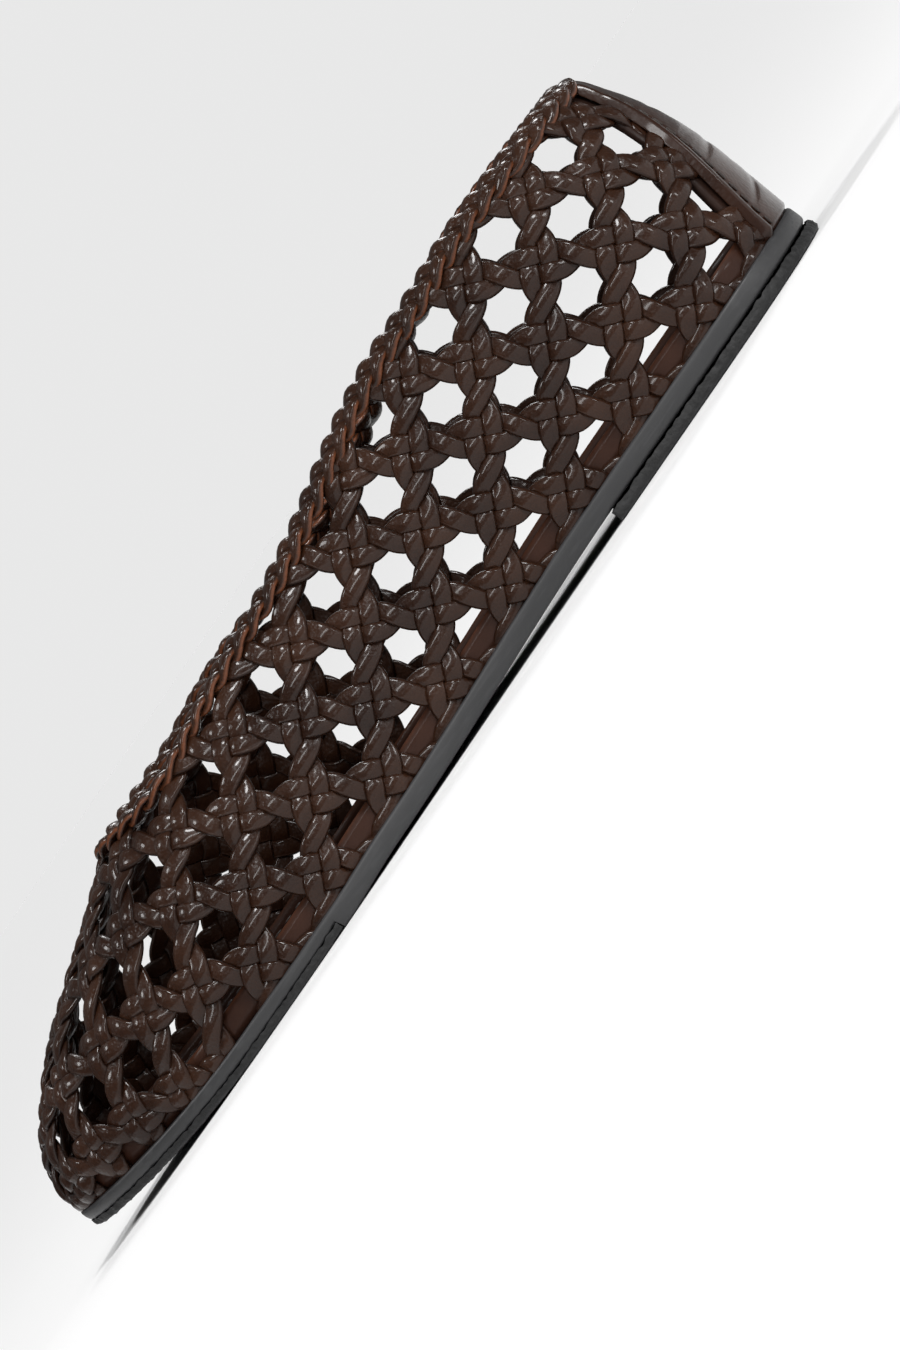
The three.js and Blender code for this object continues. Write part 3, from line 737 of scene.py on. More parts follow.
def smooth_rubber():
    finish = Finish("smooth_rubber")
    place = finish.node("TexCoord", output=3)
    cloud = finish.node("TexNoise", Vector=place, Scale=38.0, Detail=4.0)
    fine = finish.node("TexNoise", Vector=place, Scale=1500.0, Detail=2.0)
    drawn = finish.node("VectorMath", settings={"operation": "MULTIPLY"},
                        numbered={0: place, 1: SCUFF_STRETCH})
    scuff = finish.ramp(finish.node("TexNoise", Vector=drawn, Scale=90.0, Detail=5.0),
                        [(0.52, grey(0)), (0.68, grey(1))])
    colour = finish.ramp(cloud * 0.8 + scuff * 0.35,
                         [(0.25, (0.030, 0.030, 0.031, 1)), (0.95, (0.050, 0.050, 0.052, 1))])
    bump = finish.node("Bump", Height=fine + scuff * 0.5, Strength=0.35, Distance=0.00005)
    rough = cloud * 0.15 + scuff * 0.14 + 0.38
    return finish.set(Base_Color=colour, Roughness=rough, Normal=bump)


def crinkled_rubber(name, scale):
    finish = Finish(name)
    place = finish.node("TexCoord", output=3)
    valley = finish.node("Attribute", output=2, settings={"attribute_name": "mark"})
    folds = finish.node("TexNoise", Vector=place, Scale=scale, Detail=3.0)
    fine = finish.node("TexNoise", Vector=place, Scale=2400.0, Detail=2.0)
    # Painted shade: the valleys of the crinkle are coloured darker, mixed with a random tone from the
    # folds.
    shade = valley * 0.8 + folds * 0.35
    colour = finish.ramp(shade, [(0.15, (0.034, 0.034, 0.035, 1)), (0.55, (0.022, 0.022, 0.023, 1)),
                                 (0.95, (0.006, 0.006, 0.006, 1))])
    bump = finish.node("Bump", Height=folds + fine * 0.15, Strength=0.8, Distance=0.0005)
    return finish.set(Base_Color=colour, Roughness=folds * 0.3 + valley * 0.2 + 0.34, Normal=bump)


def thread_finish():
    finish = Finish("thread")
    place = finish.node("TexCoord", output=3)
    twist = finish.node("TexNoise", Vector=place, Scale=2500.0, Detail=1.0)
    colour = finish.ramp(twist, [(0.3, (0.020, 0.013, 0.010, 1)), (0.7, (0.042, 0.028, 0.022, 1))])
    bump = finish.node("Bump", Height=twist, Strength=0.6, Distance=0.0001)
    return finish.set(Base_Color=colour, Roughness=twist * 0.2 + 0.4, Normal=bump)


sole_rubber = smooth_rubber()
heel_rubber = crinkled_rubber("heel_rubber", 700.0)
tread_rubber = crinkled_rubber("tread_rubber", 800.0)
thread = thread_finish()
print("materials", len(bpy.data.materials))

# %% [markdown]
# ## Mesh helpers
# Almost every piece here is a flat grid that a formula bends: a tube is a grid rolled up, and a
# sheet is a grid laid on the last. A curve with a bevel could make the tubes, but it can't change
# its section along the way, and a strip swells where it lies on top. `create_grid` makes the faces,
# each vertex is moved to its place, and `remove_doubles` closes the seam. Many tubes can share
# one bmesh, and become one piece.

# %% Bent grids
GRID_HALF = 1.0
WELD = 0.000002


def bend_grid(bm, along_count, across_count, place, mark=None):
    layer = bm.verts.layers.float.get("mark") or bm.verts.layers.float.new("mark")
    made = bmesh.ops.create_grid(bm, x_segments=along_count, y_segments=across_count,
                                 size=GRID_HALF)
    for vert in made["verts"]:
        u = (vert.co.x / GRID_HALF + 1) / 2
        v = (vert.co.y / GRID_HALF + 1) / 2
        vert.co = to_frame(place(u, v))
        vert[layer] = mark(u, v) if mark else 0.0


def close_up(bm):
    bmesh.ops.remove_doubles(bm, verts=bm.verts, dist=WELD)
    bmesh.ops.dissolve_degenerate(bm, edges=bm.edges, dist=WELD / 2)
    rims = [edge for edge in bm.edges if edge.is_boundary]
    bmesh.ops.holes_fill(bm, edges=rims, sides=0)
    bmesh.ops.recalc_face_normals(bm, faces=bm.faces)


print("vertices nearer than", round(WELD / MM, 4), "mm are welded")

# %% [markdown]
# A finished mesh becomes an object at the origin, so that a pattern on Object coordinates reads the same
# millimetres on every piece. It rides on the shoe's one body, gets its finish, and hides the solid it
# stands for.

# %% Finish a piece
def finish_piece(bm, name, material, replaced):
    mesh = bpy.data.meshes.new(name)
    for face in bm.faces:
        face.smooth = True
    bm.to_mesh(mesh)
    bm.free()
    mesh.materials.append(material)
    piece = bpy.data.objects.new(name, mesh)
    bpy.context.collection.objects.link(piece)
    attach(piece, "root")
    if replaced:
        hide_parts(*replaced)
    print(name, len(mesh.polygons), "faces")

# %% [markdown]
# ## The net
# The upper is a net of leather strips, laid in pairs. Two families of pairs cross on a diamond
# grid. At each knot the two pairs make a small plain weave, and halfway between two knots the
# strips of a pair cross each other. So every strip goes over and under in strict turns.
#
# The net could be a pattern cut into a sheet, as in the solid, or a bump. But the light falls
# through it and each strip casts its own shadow, so every strip is a tube of its own here. The
# net is laid out flat first, where its diamonds are regular: x runs out from the centre line, and y
# back from the centre of the toe's fan. Then each flat place is looked up on the wall. The rows
# keep their width at the throat, and the top edge cuts through them further back, as it does on
# the real shoe.

# %% Lay the net flat
STRIP_WIDTH = 3.9
STRIP_HALF_THICK = 0.62
WEAVE_HEIGHT = 0.62
NET_DEPTH = 1.75
ROOTED = 3.2
TUCKED = 3.6
SAMPLE = 0.048
FLAT_PROBE = 1.2
throat_back = TOE_CENTRE - THROAT_ALONG
row_pitch = {side: girth(around_at(side, THROAT_ALONG)) / ROWS_TO_THROAT for side in (OUTER, INNER)}


def flat_to_wall(x, y):
    side = OUTER if x >= 0 else INNER
    out = abs(x)
    if y < 0:
        turn = math.atan2(out, -y) / QUARTER
        around = around_at(side, TOE_CENTRE) * turn
        return around, girth(around) - math.hypot(out, y)
    around = around_at(side, TOE_CENTRE - min(y, throat_back)) + side * max(y - throat_back, 0)
    full = row_pitch[side] * ROWS_TO_THROAT if y > throat_back else girth(around)
    return around, full - out


def flat_point(x, y):
    return wall_point(*flat_to_wall(x, y))


def flat_frame(x, y):
    across = flat_point(x + FLAT_PROBE, y) - flat_point(x - FLAT_PROBE, y)
    back = flat_point(x, y + FLAT_PROBE) - flat_point(x, y - FLAT_PROBE)
    return flat_point(x, y), across.cross(back).normalized()


print("row pitch", {side: round(pitch, 2) for side, pitch in row_pitch.items()})

# %% [markdown]
# The net stops where its panel stops: a little below the sole's edge, where it is lasted under,
# at the top edge, and under the back strip. `room_in_panel` is positive inside. Strips run on a
# little past the sole and the back strip, because their ends are hidden there.

# %% Where the net stops
def to_back_strip(around, up):
    side = OUTER if around >= 0 else INNER
    return side_length[side] - abs(around) - strip_half_width(up)


def room_in_panel(around, up):
    side, along = place_on_ring(around)
    to_top = along - THROAT_ALONG if along >= THROAT_ALONG else topline_up(around) - up
    return min(up + ROOTED, to_top, to_back_strip(around, up) + TUCKED)


heel_room = room_in_panel(around_at(OUTER, HEEL_CENTRE), 1)
print("room beside the heel, 1 mm up", round(heel_room, 1), "mm")

# %% [markdown]
# One number runs along a strip: t counts its knots. The strip keeps to one side of its pair near a
# knot and changes sides between two knots. Its height swings up and down in time with that. Both
# follow from t and from the side that the strip starts on, so both families use one rule, and no
# crossing needs a test.

# %% Sides and crossings of a strip
KNOT_HALF = STRIP_WIDTH / 2
SWAP_START, SWAP_END = 0.22, 0.78


def pair_offset(t, side):
    knot = math.floor(t)
    sign = side * (1 if knot % 2 == 0 else -1)
    share = smooth((t - knot - SWAP_START) / (SWAP_END - SWAP_START))
    return sign * KNOT_HALF * (1 - 2 * share)


def weave_depth(t, side, edge):
    near = KNOT_HALF / edge
    knot = math.floor(t + near)
    sign = side * (1 if knot % 2 == 0 else -1)
    stops = [(-near, sign), (near, -sign), (0.5, sign), (1 - near, -sign)]
    place = t - knot
    for (a, low), (b, high) in zip(stops, stops[1:]):
        if place <= b:
            return mix(low, high, (1 - math.cos(math.pi * (place - a) / (b - a))) / 2)
    return -sign


print("side of the pair at four places", [round(pair_offset(t / 4, 1), 2) for t in range(4)])

# %% [markdown]
# A strip's path is sampled at small steps of t. Near the sole and under the back strip it is
# drawn inward and its swing gets smaller, because it is lasted or sewn in there and pressed
# flat. It is drawn less under the back strip, or it would show through the lining.

# %% One strip's path
ROOT_DRAW = 1.5
ROOT_FADE = 4
COVER_DRAW = 0.9
COVER_AHEAD = 1.0
COVER_FADE = 3
HIDDEN_CALM = 0.6
SHORTEST_PATH = 4
FLAT_FRONT, FLAT_BACK = -70, 260


def strip_paths(family, line, side):
    paths, path = [], []
    reach = 2 * (ROWS_TO_THROAT + 3)
    t = -reach
    while t < SHOE_LENGTH / STRIDE + reach:
        row, stride = (line + t, t) if family > 0 else (line - t, t)
        pitch = row_pitch[OUTER if row >= 0 else INNER]
        edge = math.hypot(pitch, STRIDE)
        offset = pair_offset(t, side)
        x = row * pitch - STRIDE / edge * offset
        y = stride * STRIDE + family * pitch / edge * offset
        is_near = abs(x) < (ROWS_TO_THROAT + 1) * pitch and FLAT_FRONT < y < FLAT_BACK
        around, up = flat_to_wall(x, y) if is_near else (0, 0)
        if is_near and room_in_panel(around, up) > 0:
            rooted = smooth((ROOT_FADE / 2 - up) / ROOT_FADE)
            covered = smooth((COVER_AHEAD - to_back_strip(around, up)) / COVER_FADE)
            drawn = max(rooted * ROOT_DRAW, covered * COVER_DRAW)
            calm = 1 - HIDDEN_CALM * max(rooted, covered)
            path.append((x, y, weave_depth(t, side, edge), WEAVE_HEIGHT * calm, NET_DEPTH - drawn))
        elif path:
            paths.append(path)
            path = []
        t += SAMPLE
    if path:
        paths.append(path)
    return [path for path in paths if len(path) > SHORTEST_PATH]


print("places on one strip", [len(path) for path in strip_paths(1, 0, 1)])

# %% [markdown]
# ## Sweep the strips
# Each strip is a flat tube with round edges and a soft crown. A round tube would look like cord,
# and a flat ribbon would have no thickness where it turns over its neighbour. Where it lies on top
# it swells and spreads a little, as leather does between two crossings. The mark is 1 at the
# strip's two edges.

# %% Sweep the strips
STRIP_SIDES = 12
EDGE_POWER = 0.62
CROWN_POWER = 0.85
UNDERSIDE = 0.8
CROWN = 0.4
TOP_SWELL = 0.3
TOP_SPREAD = 0.05


def section_at(v, width, thick, swell):
    turn = 2 * math.pi * v
    c, s = math.cos(turn), math.sin(turn)
    across = math.copysign(abs(c) ** EDGE_POWER, c) * width / 2
    rise = math.copysign(abs(s) ** CROWN_POWER, s) * thick
    return across, rise * (1 + swell if s > 0 else UNDERSIDE)


def edge_mark(u, v):
    return abs(math.cos(2 * math.pi * v)) ** 3


def sweep_section(bm, places, normals, shape):
    last = len(places) - 1

    def place(u, v):
        k = round(u * last)
        run = (places[min(k + 1, last)] - places[max(k - 1, 0)]).normalized()
        across = run.cross(normals[k]).normalized()
        a, r = shape(k, v)
        return places[k] + across * a + across.cross(run) * r

    bend_grid(bm, last, STRIP_SIDES, place, edge_mark)


def sweep_strip(bm, path):
    places, normals = [], []
    for x, y, weave, swing, depth in path:
        point, normal = flat_frame(x, y)
        places.append(point + normal * (depth + swing * weave))
        normals.append(normal)

    def shape(k, v):
        weave = path[k][2]
        width = STRIP_WIDTH * (1 + TOP_SPREAD * weave)
        return section_at(v, width, STRIP_HALF_THICK, CROWN + TOP_SWELL * weave)

    sweep_section(bm, places, normals, shape)


reach_aside = section_at(0, STRIP_WIDTH, STRIP_HALF_THICK, CROWN)[0]
reach_up = section_at(0.25, STRIP_WIDTH, STRIP_HALF_THICK, CROWN)[1]
print("section reaches", round(reach_aside, 2), "mm aside and", round(reach_up, 2), "mm up")

# %% [markdown]
# Each family of pairs goes into one bmesh and becomes one piece, because so many loose strips would
# be hard to handle. The pairs stand on every other line of the grid, and each pair has two strips.
# Both families are made by the same loop.

# %% Make the net
def make_net():
    top_line = 2 * math.ceil((SHOE_LENGTH / STRIDE + ROWS_TO_THROAT) / 2)
    for family, name in ((1, "net_forward_strips"), (-1, "net_backward_strips")):
        bm = bmesh.new()
        count = 0
        for line in range(-top_line, top_line + 1, 2):
            for side in (1, -1):
                for path in strip_paths(family, line, side):
                    sweep_strip(bm, path)
                    count += 1
        close_up(bm)
        print("strips", count)
        finish_piece(bm, name, braid_leather, ("upper",))


make_net()

# %% [markdown]
# ## The top edge
# The net ends in a plait round the opening, which hides its cut ends and keeps the edge from
# stretching. A twisted tube would be quicker, but a plait doesn't twist: its strands cross in a V
# pattern, and the picture shows that. In a plain three-strand plait each strand swings from side
# to side in a sine, a third of a turn after the last one, and dips twice as often, to pass over
# one neighbour and under the other. So two sines and a phase make it.
#
# The path is the top edge of the wall, from one side of the back strip round the throat to the
# other. `evenly` puts stops on it at equal distances, or the plait would bunch up at the bends.

# %% The edge's path
PLAIT_TURN = 16.5
PLAIT_SWING = 1.9
PLAIT_DIP = 0.85
PLAIT_STEP = 0.7
PLAIT_SAMPLES = 220
TINY = 1e-9
PLAIT_WIDTH = 3.5
PLAIT_END_GAP = 1.0
PLAIT_LEAN = 0.9
PLAIT_LIFT = 0.4
PLAIT_HALF_THICK = 0.8
PLAIT_CROWN = 0.5


def topline_path():
    path = []
    for side in (OUTER, INNER):
        end = side_length[side] - STRIP_TOP + PLAIT_END_GAP
        back_along = place_on_ring(end * side)[1]
        for k in range(PLAIT_SAMPLES + 1):
            turn = PLAIT_SAMPLES - k if side == OUTER else k
            if side == INNER and k == 0:
                continue
            share = (1 - math.cos(math.pi * turn / PLAIT_SAMPLES)) / 2
            around = around_at(side, mix(THROAT_ALONG, back_along, share))
            up = topline_up(around)
            path.append((on_wall(around, up, ROPE_OUT), wall_normal(around, up)))
    return path


def evenly(path, spacing):
    reach = [0.0]
    for (a, _), (b, _) in zip(path, path[1:]):
        reach.append(reach[-1] + (b - a).length)
    count = round(reach[-1] / spacing)
    stops, k = [], 0
    for j in range(count + 1):
        goal = reach[-1] * j / count
        while k < len(path) - 2 and reach[k + 1] < goal:
            k += 1
        share = (goal - reach[k]) / max(reach[k + 1] - reach[k], TINY)
        point = path[k][0].lerp(path[k + 1][0], share)
        stops.append((point, path[k][1].lerp(path[k + 1][1], share).normalized(), goal))
    return stops


edge_stops = evenly(topline_path(), PLAIT_STEP)
print("plait", round(edge_stops[-1][2]), "mm long with", len(edge_stops), "stops")

# %% [markdown]
# At each stop the strand is moved aside and in or out by its two sines, and the section of the net's
# strips is swept along it, narrower and a little thicker. The plait lies on the edge's shoulder and
# faces up almost as much as out, so "aside" and "out" are both turned by the same lean.

# %% Plait the strands
def plait_section(k, v):
    return section_at(v, PLAIT_WIDTH, PLAIT_HALF_THICK, PLAIT_CROWN)


def make_plait(stops):
    last = len(stops) - 1
    bm = bmesh.new()
    for strand in range(3):
        places, outs = [], []
        for k, (point, normal, reach) in enumerate(stops):
            run = (stops[min(k + 1, last)][0] - stops[max(k - 1, 0)][0]).normalized()
            rise = normal.cross(run).normalized()
            if rise.z < 0:
                rise = -rise
            out = (normal + rise * PLAIT_LEAN).normalized()
            aside = (rise - normal * PLAIT_LEAN).normalized()
            phase = 2 * math.pi * (reach / PLAIT_TURN + strand / 3)
            places.append(point + aside * PLAIT_SWING * math.sin(phase)
                          + out * (PLAIT_DIP * math.sin(2 * phase) + PLAIT_LIFT))
            outs.append(out)
        sweep_section(bm, places, outs, plait_section)
    close_up(bm)
    finish_piece(bm, "plaited_edge", plait_leather, ())


make_plait(edge_stops)

# %% [markdown]
# ## Band and counter
# Behind the lowest openings shows a flat leather band. It joins the net's ends and is lasted under
# the shoe. At the back a plain counter stiffens the heel and carries the back strip. Both are thin
# sheets, and bending a grid and giving it a thickness with `solidify` is the shortest way to such
# a sheet. The normals are made right before it, since it grows the thickness along them.

# %% Band and counter
BAND_HEIGHT = 5.2
BAND_THICKNESS = 0.7
BAND_DROP = 0.25
BAND_DEPTH = 0.75
BAND_STEPS = 420
COUNTER_MARGIN = 2
COUNTER_COLUMNS, COUNTER_ROWS = 30, 24


def thicken(bm, thickness):
    bmesh.ops.remove_doubles(bm, verts=bm.verts, dist=WELD)
    bmesh.ops.recalc_face_normals(bm, faces=bm.faces)
    bmesh.ops.solidify(bm, geom=bm.faces[:], thickness=thickness * MM)


def make_band():
    bm = bmesh.new()
    start = -side_length[INNER]
    whole = side_length[OUTER] - start

    def place(u, v):
        return on_wall(start + whole * u, BAND_HEIGHT * v - BAND_DROP, BAND_DEPTH)

    bend_grid(bm, BAND_STEPS, 3, place, lambda u, v: 1.0 if v == 1 else 0.0)
    thicken(bm, BAND_THICKNESS)
    finish_piece(bm, "feather_band", band_leather, ())


def make_counter():
    bm = bmesh.new()

    def place(u, v):
        up = BACK_TOP * v
        half = strip_half_width(up) + COUNTER_MARGIN
        return on_wall(side_length[OUTER] + (2 * u - 1) * half, up, COUNTER_THICKNESS)

    bend_grid(bm, COUNTER_COLUMNS, COUNTER_ROWS, place)
    thicken(bm, COUNTER_THICKNESS)
    finish_piece(bm, "counter", lining_leather, ())


make_band()
make_counter()

# %% [markdown]
# ## The back strip
# The back strip is one smooth piece of leather over the heel seam. Its long edges are rolled over
# a cord and stitched just behind the roll, and its top is folded down inside, over the end of the
# plait.
#
# Roll, groove, fold and creases could be separate pieces or a bump, but they catch the light in
# the outline, and the leather is one piece. So one grid makes it. Its rows follow a route up the
# back, over the top and down the inside. Its columns crowd towards the edges, where the roll and
# the groove need them.

# %% The strip's route
STRIP_OUTSIDE = COUNTER_THICKNESS + CLEARANCE + STRIP_THICKNESS
STRIP_INSIDE = -CLEARANCE - STRIP_THICKNESS
STRIP_OVER = CLEARANCE + STRIP_THICKNESS
ROLL_WIDTH = 2.8
ROLL_HEIGHT = 0.85
GROOVE_AT = 3.5
GROOVE_WIDTH = 0.5
GROOVE_DEEP = 0.35
EDGE_TUCK = 1.0
STRIP_START = -0.9
FOOT_TUCK = 1.6
FOOT_RISE = 2.4
STRIP_TUCK = 1.2
TUCK_RISE = 1.2
FOLD_RADIUS = 1.9
FOLD_LENGTH = math.pi * FOLD_RADIUS
STRIP_LENGTH = BACK_TOP - STRIP_START + FOLD_LENGTH + STRIP_FOLD


def strip_route(v):
    go = v * STRIP_LENGTH + STRIP_START
    if go <= BACK_TOP:
        return go, STRIP_OUTSIDE - FOOT_TUCK * smooth((FOOT_RISE / 2 - go) / FOOT_RISE)
    turn = (go - BACK_TOP) / FOLD_RADIUS
    if turn < math.pi:
        middle = (STRIP_OUTSIDE + STRIP_INSIDE) / 2
        reach = (STRIP_OUTSIDE - middle) * math.cos(turn)
        return BACK_TOP + STRIP_OVER * math.sin(turn), middle + reach
    left = go - BACK_TOP - FOLD_LENGTH
    tucked = smooth((left - STRIP_FOLD + TUCK_RISE) / TUCK_RISE)
    return BACK_TOP - left, STRIP_INSIDE + STRIP_TUCK * tucked


print("strip", round(STRIP_LENGTH, 1), "mm from the sole to its tucked end")

# %% [markdown]
# The creases are listed one by one, where the leather has been pulled over the heel: each has its height
# "up" the strip, its place "off" the middle, a tilt, a reach and a depth. A crease is a soft trough, a
# bell curve both ways, so that it fades out at its ends.

# %% Creases and relief
CREASE_WIDTH = 0.9
CREASES = [
    {"up": 9, "off": -7, "tilt": 0.25, "reach": 8, "deep": 0.30},
    {"up": 13, "off": 9, "tilt": -0.30, "reach": 7, "deep": 0.26},
    {"up": 21, "off": -3, "tilt": 0.12, "reach": 9, "deep": 0.22},
    {"up": 33, "off": 6, "tilt": -0.22, "reach": 7, "deep": 0.24},
    {"up": 44, "off": -5, "tilt": 0.30, "reach": 6, "deep": 0.28},
    {"up": 55, "off": 3, "tilt": -0.15, "reach": 6, "deep": 0.30},
    {"up": 70, "off": -2, "tilt": 0.20, "reach": 5, "deep": 0.30},
    {"up": 79, "off": 3, "tilt": -0.25, "reach": 5, "deep": 0.26},
]


def crease_depth(up, off):
    deep = 0
    for crease in CREASES:
        line = (up - crease["up"] - crease["tilt"] * (off - crease["off"])) / CREASE_WIDTH
        span = (off - crease["off"]) / crease["reach"]
        deep += crease["deep"] * math.exp(-line * line - span * span)
    return deep


def strip_relief(from_edge):
    lift = ROLL_HEIGHT * math.sqrt(max(0, 1 - (2 * from_edge / ROLL_WIDTH - 1) ** 2))
    tuck = EDGE_TUCK * (1 - smooth(2 * from_edge / ROLL_WIDTH))
    groove = GROOVE_DEEP * math.exp(-((from_edge - GROOVE_AT) / GROOVE_WIDTH) ** 2)
    return lift - tuck - groove


print("relief from the edge inward", [round(strip_relief(x / 2), 2) for x in range(9)])

# %% [markdown]
# Over the fold the roll and the creases are calmed, because leather that is bent that sharply
# is pressed flat. The mark is a thin line beside the groove: there the finish shows the raw edge
# of the leather that is rolled over.

# %% Back strip
CROWDING = 1.8
FOLD_CALM = 0.75
CALM_AHEAD = 4
CALM_RUN = 5
RAW_LINE_AT = GROOVE_AT - 0.2
RAW_LINE_WIDTH = 0.32
STRIP_COLUMNS, STRIP_ROWS = 64, 130


def strip_point(u, v, lift=0.0):
    up, depth = strip_route(v)
    half = strip_half_width(min(up, BACK_TOP))
    aside = 2 * u - 1
    from_edge = half * (1 - abs(aside)) ** CROWDING
    off = math.copysign(half - from_edge, aside)
    past_top = v * STRIP_LENGTH + STRIP_START - BACK_TOP
    calm = 1 - FOLD_CALM * smooth((past_top + CALM_AHEAD) / CALM_RUN)
    relief = (strip_relief(from_edge) - crease_depth(v * STRIP_LENGTH, off)) * calm + lift
    out = 1 if depth > COUNTER_THICKNESS / 2 else -1
    point = on_wall(side_length[OUTER] + off, min(up, BACK_TOP), depth + relief * out)
    return point + Vector((0, 0, max(up - BACK_TOP, 0)))


def strip_mark(u, v):
    up = min(strip_route(v)[0], BACK_TOP)
    from_edge = strip_half_width(up) * (1 - abs(2 * u - 1)) ** CROWDING
    return math.exp(-((from_edge - RAW_LINE_AT) / RAW_LINE_WIDTH) ** 2)


def make_back_strip():
    bm = bmesh.new()
    bend_grid(bm, STRIP_COLUMNS, STRIP_ROWS, strip_point, strip_mark)
    bmesh.ops.recalc_face_normals(bm, faces=bm.faces)
    finish_piece(bm, "back_strip_cover", strip_leather, ("back_strip",))


make_back_strip()

# %% [markdown]
# The stitches lie in the groove, a little above its bottom. Each is a small ball drawn out between
# two points of the strip, because a stitch dives into the leather at both ends. They are real
# pieces of thread and not a bump, so that they catch the light one by one. A stitch has only a few
# dozen faces, because the shoe has some two hundred of them.

# %% Stitches of the back strip
STITCH_AT = 4.1
STITCH_PITCH = 3.1
STITCH_HALF = 0.36
STITCH_LIFT = 0.12
STITCH_RADIUS = 0.34


def stitch(bm, ends, radius):
    run = ends[1] - ends[0]
    turn = run.to_track_quat("Z", "Y").to_matrix().to_4x4()
    size = Matrix.Diagonal((radius * MM, radius * MM, run.length / 2, 1))
    middle = Matrix.Translation((ends[0] + ends[1]) / 2)
    bmesh.ops.create_uvsphere(bm, u_segments=8, v_segments=6, radius=1, matrix=middle @ turn @ size)


def make_stitches():
    bm = bmesh.new()
    count = round(BACK_TOP / STITCH_PITCH)
    for aside in (-1, 1):
        for k in range(1, count):
            ends = []
            for part in (-STITCH_HALF, STITCH_HALF):
                v = (k + part) * STITCH_PITCH / STRIP_LENGTH
                half = strip_half_width(strip_route(v)[0])
                share = (STITCH_AT / half) ** (1 / CROWDING)
                ends.append(to_frame(strip_point((1 + aside * (1 - share)) / 2, v, STITCH_LIFT)))
            stitch(bm, ends, STITCH_RADIUS)
    finish_piece(bm, "back_strip_stitches", thread, ())


make_stitches()

# %% [markdown]
# ## Slabs with the outline of the foot
# The outsole, the sock, the tread and the heel lift are slabs: a flat plate with a rounded wall
# round it. A slab could be cut from a block with booleans, but these leave long thin faces, which
# shade badly. Here two bent grids make it. The plate's rows run across from edge to edge, and the
# wall follows the edge. They share the same rows, so their borders meet vertex on vertex, and
# `remove_doubles` joins them. The rows crowd at the round ends, where the outline turns fast.

# %% Slab grids
def slab_edge(row_along, side, row, inset):
    along = row_along(side, row)
    return ring_plan(around_at(side, along), inset)


def plate(bm, rows, columns, row_along, inset, height):
    edges = {}

    def place(u, v):
        row = round(u * rows)
        across = 2 * v - 1
        if row not in edges:
            edges[row] = [slab_edge(row_along, side, row, inset) for side in (INNER, OUTER)]
        left, right = edges[row]
        flat = left.lerp(right, v)
        flat.y -= row_along(across, row) - mix(row_along(-1, row), row_along(1, row), v)
        return Vector((flat.x, flat.y, height(flat.x, -flat.y, row)))

    bend_grid(bm, rows, columns, place)


def wall(bm, rows, row_along, rings):
    count = 2 * rows + 1

    def place(u, v):
        turn = round(u * count)
        side, row = (OUTER, turn) if turn <= rows else (INNER, count - turn)
        inset, height = rings[round(v * (len(rings) - 1))]
        flat = slab_edge(row_along, side, row, inset)
        return Vector((flat.x, flat.y, height(-flat.y, row)))

    bend_grid(bm, count, len(rings) - 1, place)


at_half_length = slab_edge(lambda side, row: SHOE_LENGTH / 2, OUTER, 0, 0)
print("outer edge at half length", round(at_half_length.x, 1), "mm out")

# %% [markdown]
# ## The outsole
# The outsole is one smooth rubber moulding with a rounded lower edge, a straight side and a thin
# rounded brim against the upper. The rings of its wall are listed from below: how far in from the
# edge, and how high.
#
# Its underside ends at the rear edge of the tread in a small step. That edge runs in an S from the
# outer to the inner side, and a curve through seven named places gives it. The step is a pair of
# rows that lie close together at two heights, so it needs no cut.

# %% The tread's rear edge
EDGE_REACH = 0.43
TREAD_EDGE = [
    {"across": -0.56, "at": TREAD_INNER + TREAD_END_SLANT},
    {"across": -0.42, "at": (TREAD_ARCH + TREAD_INNER) / 2},
    {"across": -0.24, "at": TREAD_ARCH},
    {"across": -0.06, "at": TREAD_ARCH + CLEARANCE},
    {"across": 0.13, "at": (TREAD_OUTER + TREAD_ARCH) / 2},
    {"across": 0.42, "at": TREAD_OUTER},
    {"across": 0.56, "at": TREAD_OUTER + TREAD_END_SLANT},
]
tread_edge_curve = curve_through([row["across"] for row in TREAD_EDGE], [row["at"] for row in TREAD_EDGE])


def tread_edge(across):
    return tread_edge_curve(across * EDGE_REACH)


print("rear edge at the inner side, middle, outer side", [round(tread_edge(a), 1) for a in (-1, 0, 1)])

# %% Outsole
SOLE_ROWS = 150
STEP_ROW = 84
STEP_GAP = 0.35
SOLE_COLUMNS = 60
SEAT_OVERLAP = 0.2
SOLE_ROUND = 1.7
SOLE_LAP = 4.6


def sole_row(across, row):
    edge = tread_edge(across)
    if row <= STEP_ROW:
        return edge * (1 - math.cos(QUARTER * row / STEP_ROW))
    share = math.sin(QUARTER * (row - STEP_ROW - 1) / (SOLE_ROWS - STEP_ROW - 1))
    return mix(edge + STEP_GAP, SHOE_LENGTH, share)


def sole_under(along, row):
    if row <= STEP_ROW:
        return waist_bottom(along)
    return tread_bottom(along) + TREAD_THICKNESS - SEAT_OVERLAP


print("underside at the waist", round(sole_under(100, 0), 1), "mm above the floor")

# %% [markdown]
# The wall's rings go from the underside, round the lower edge, up the side and in over the brim.
# The last ring reaches in under the upper, so no gap shows between the two.

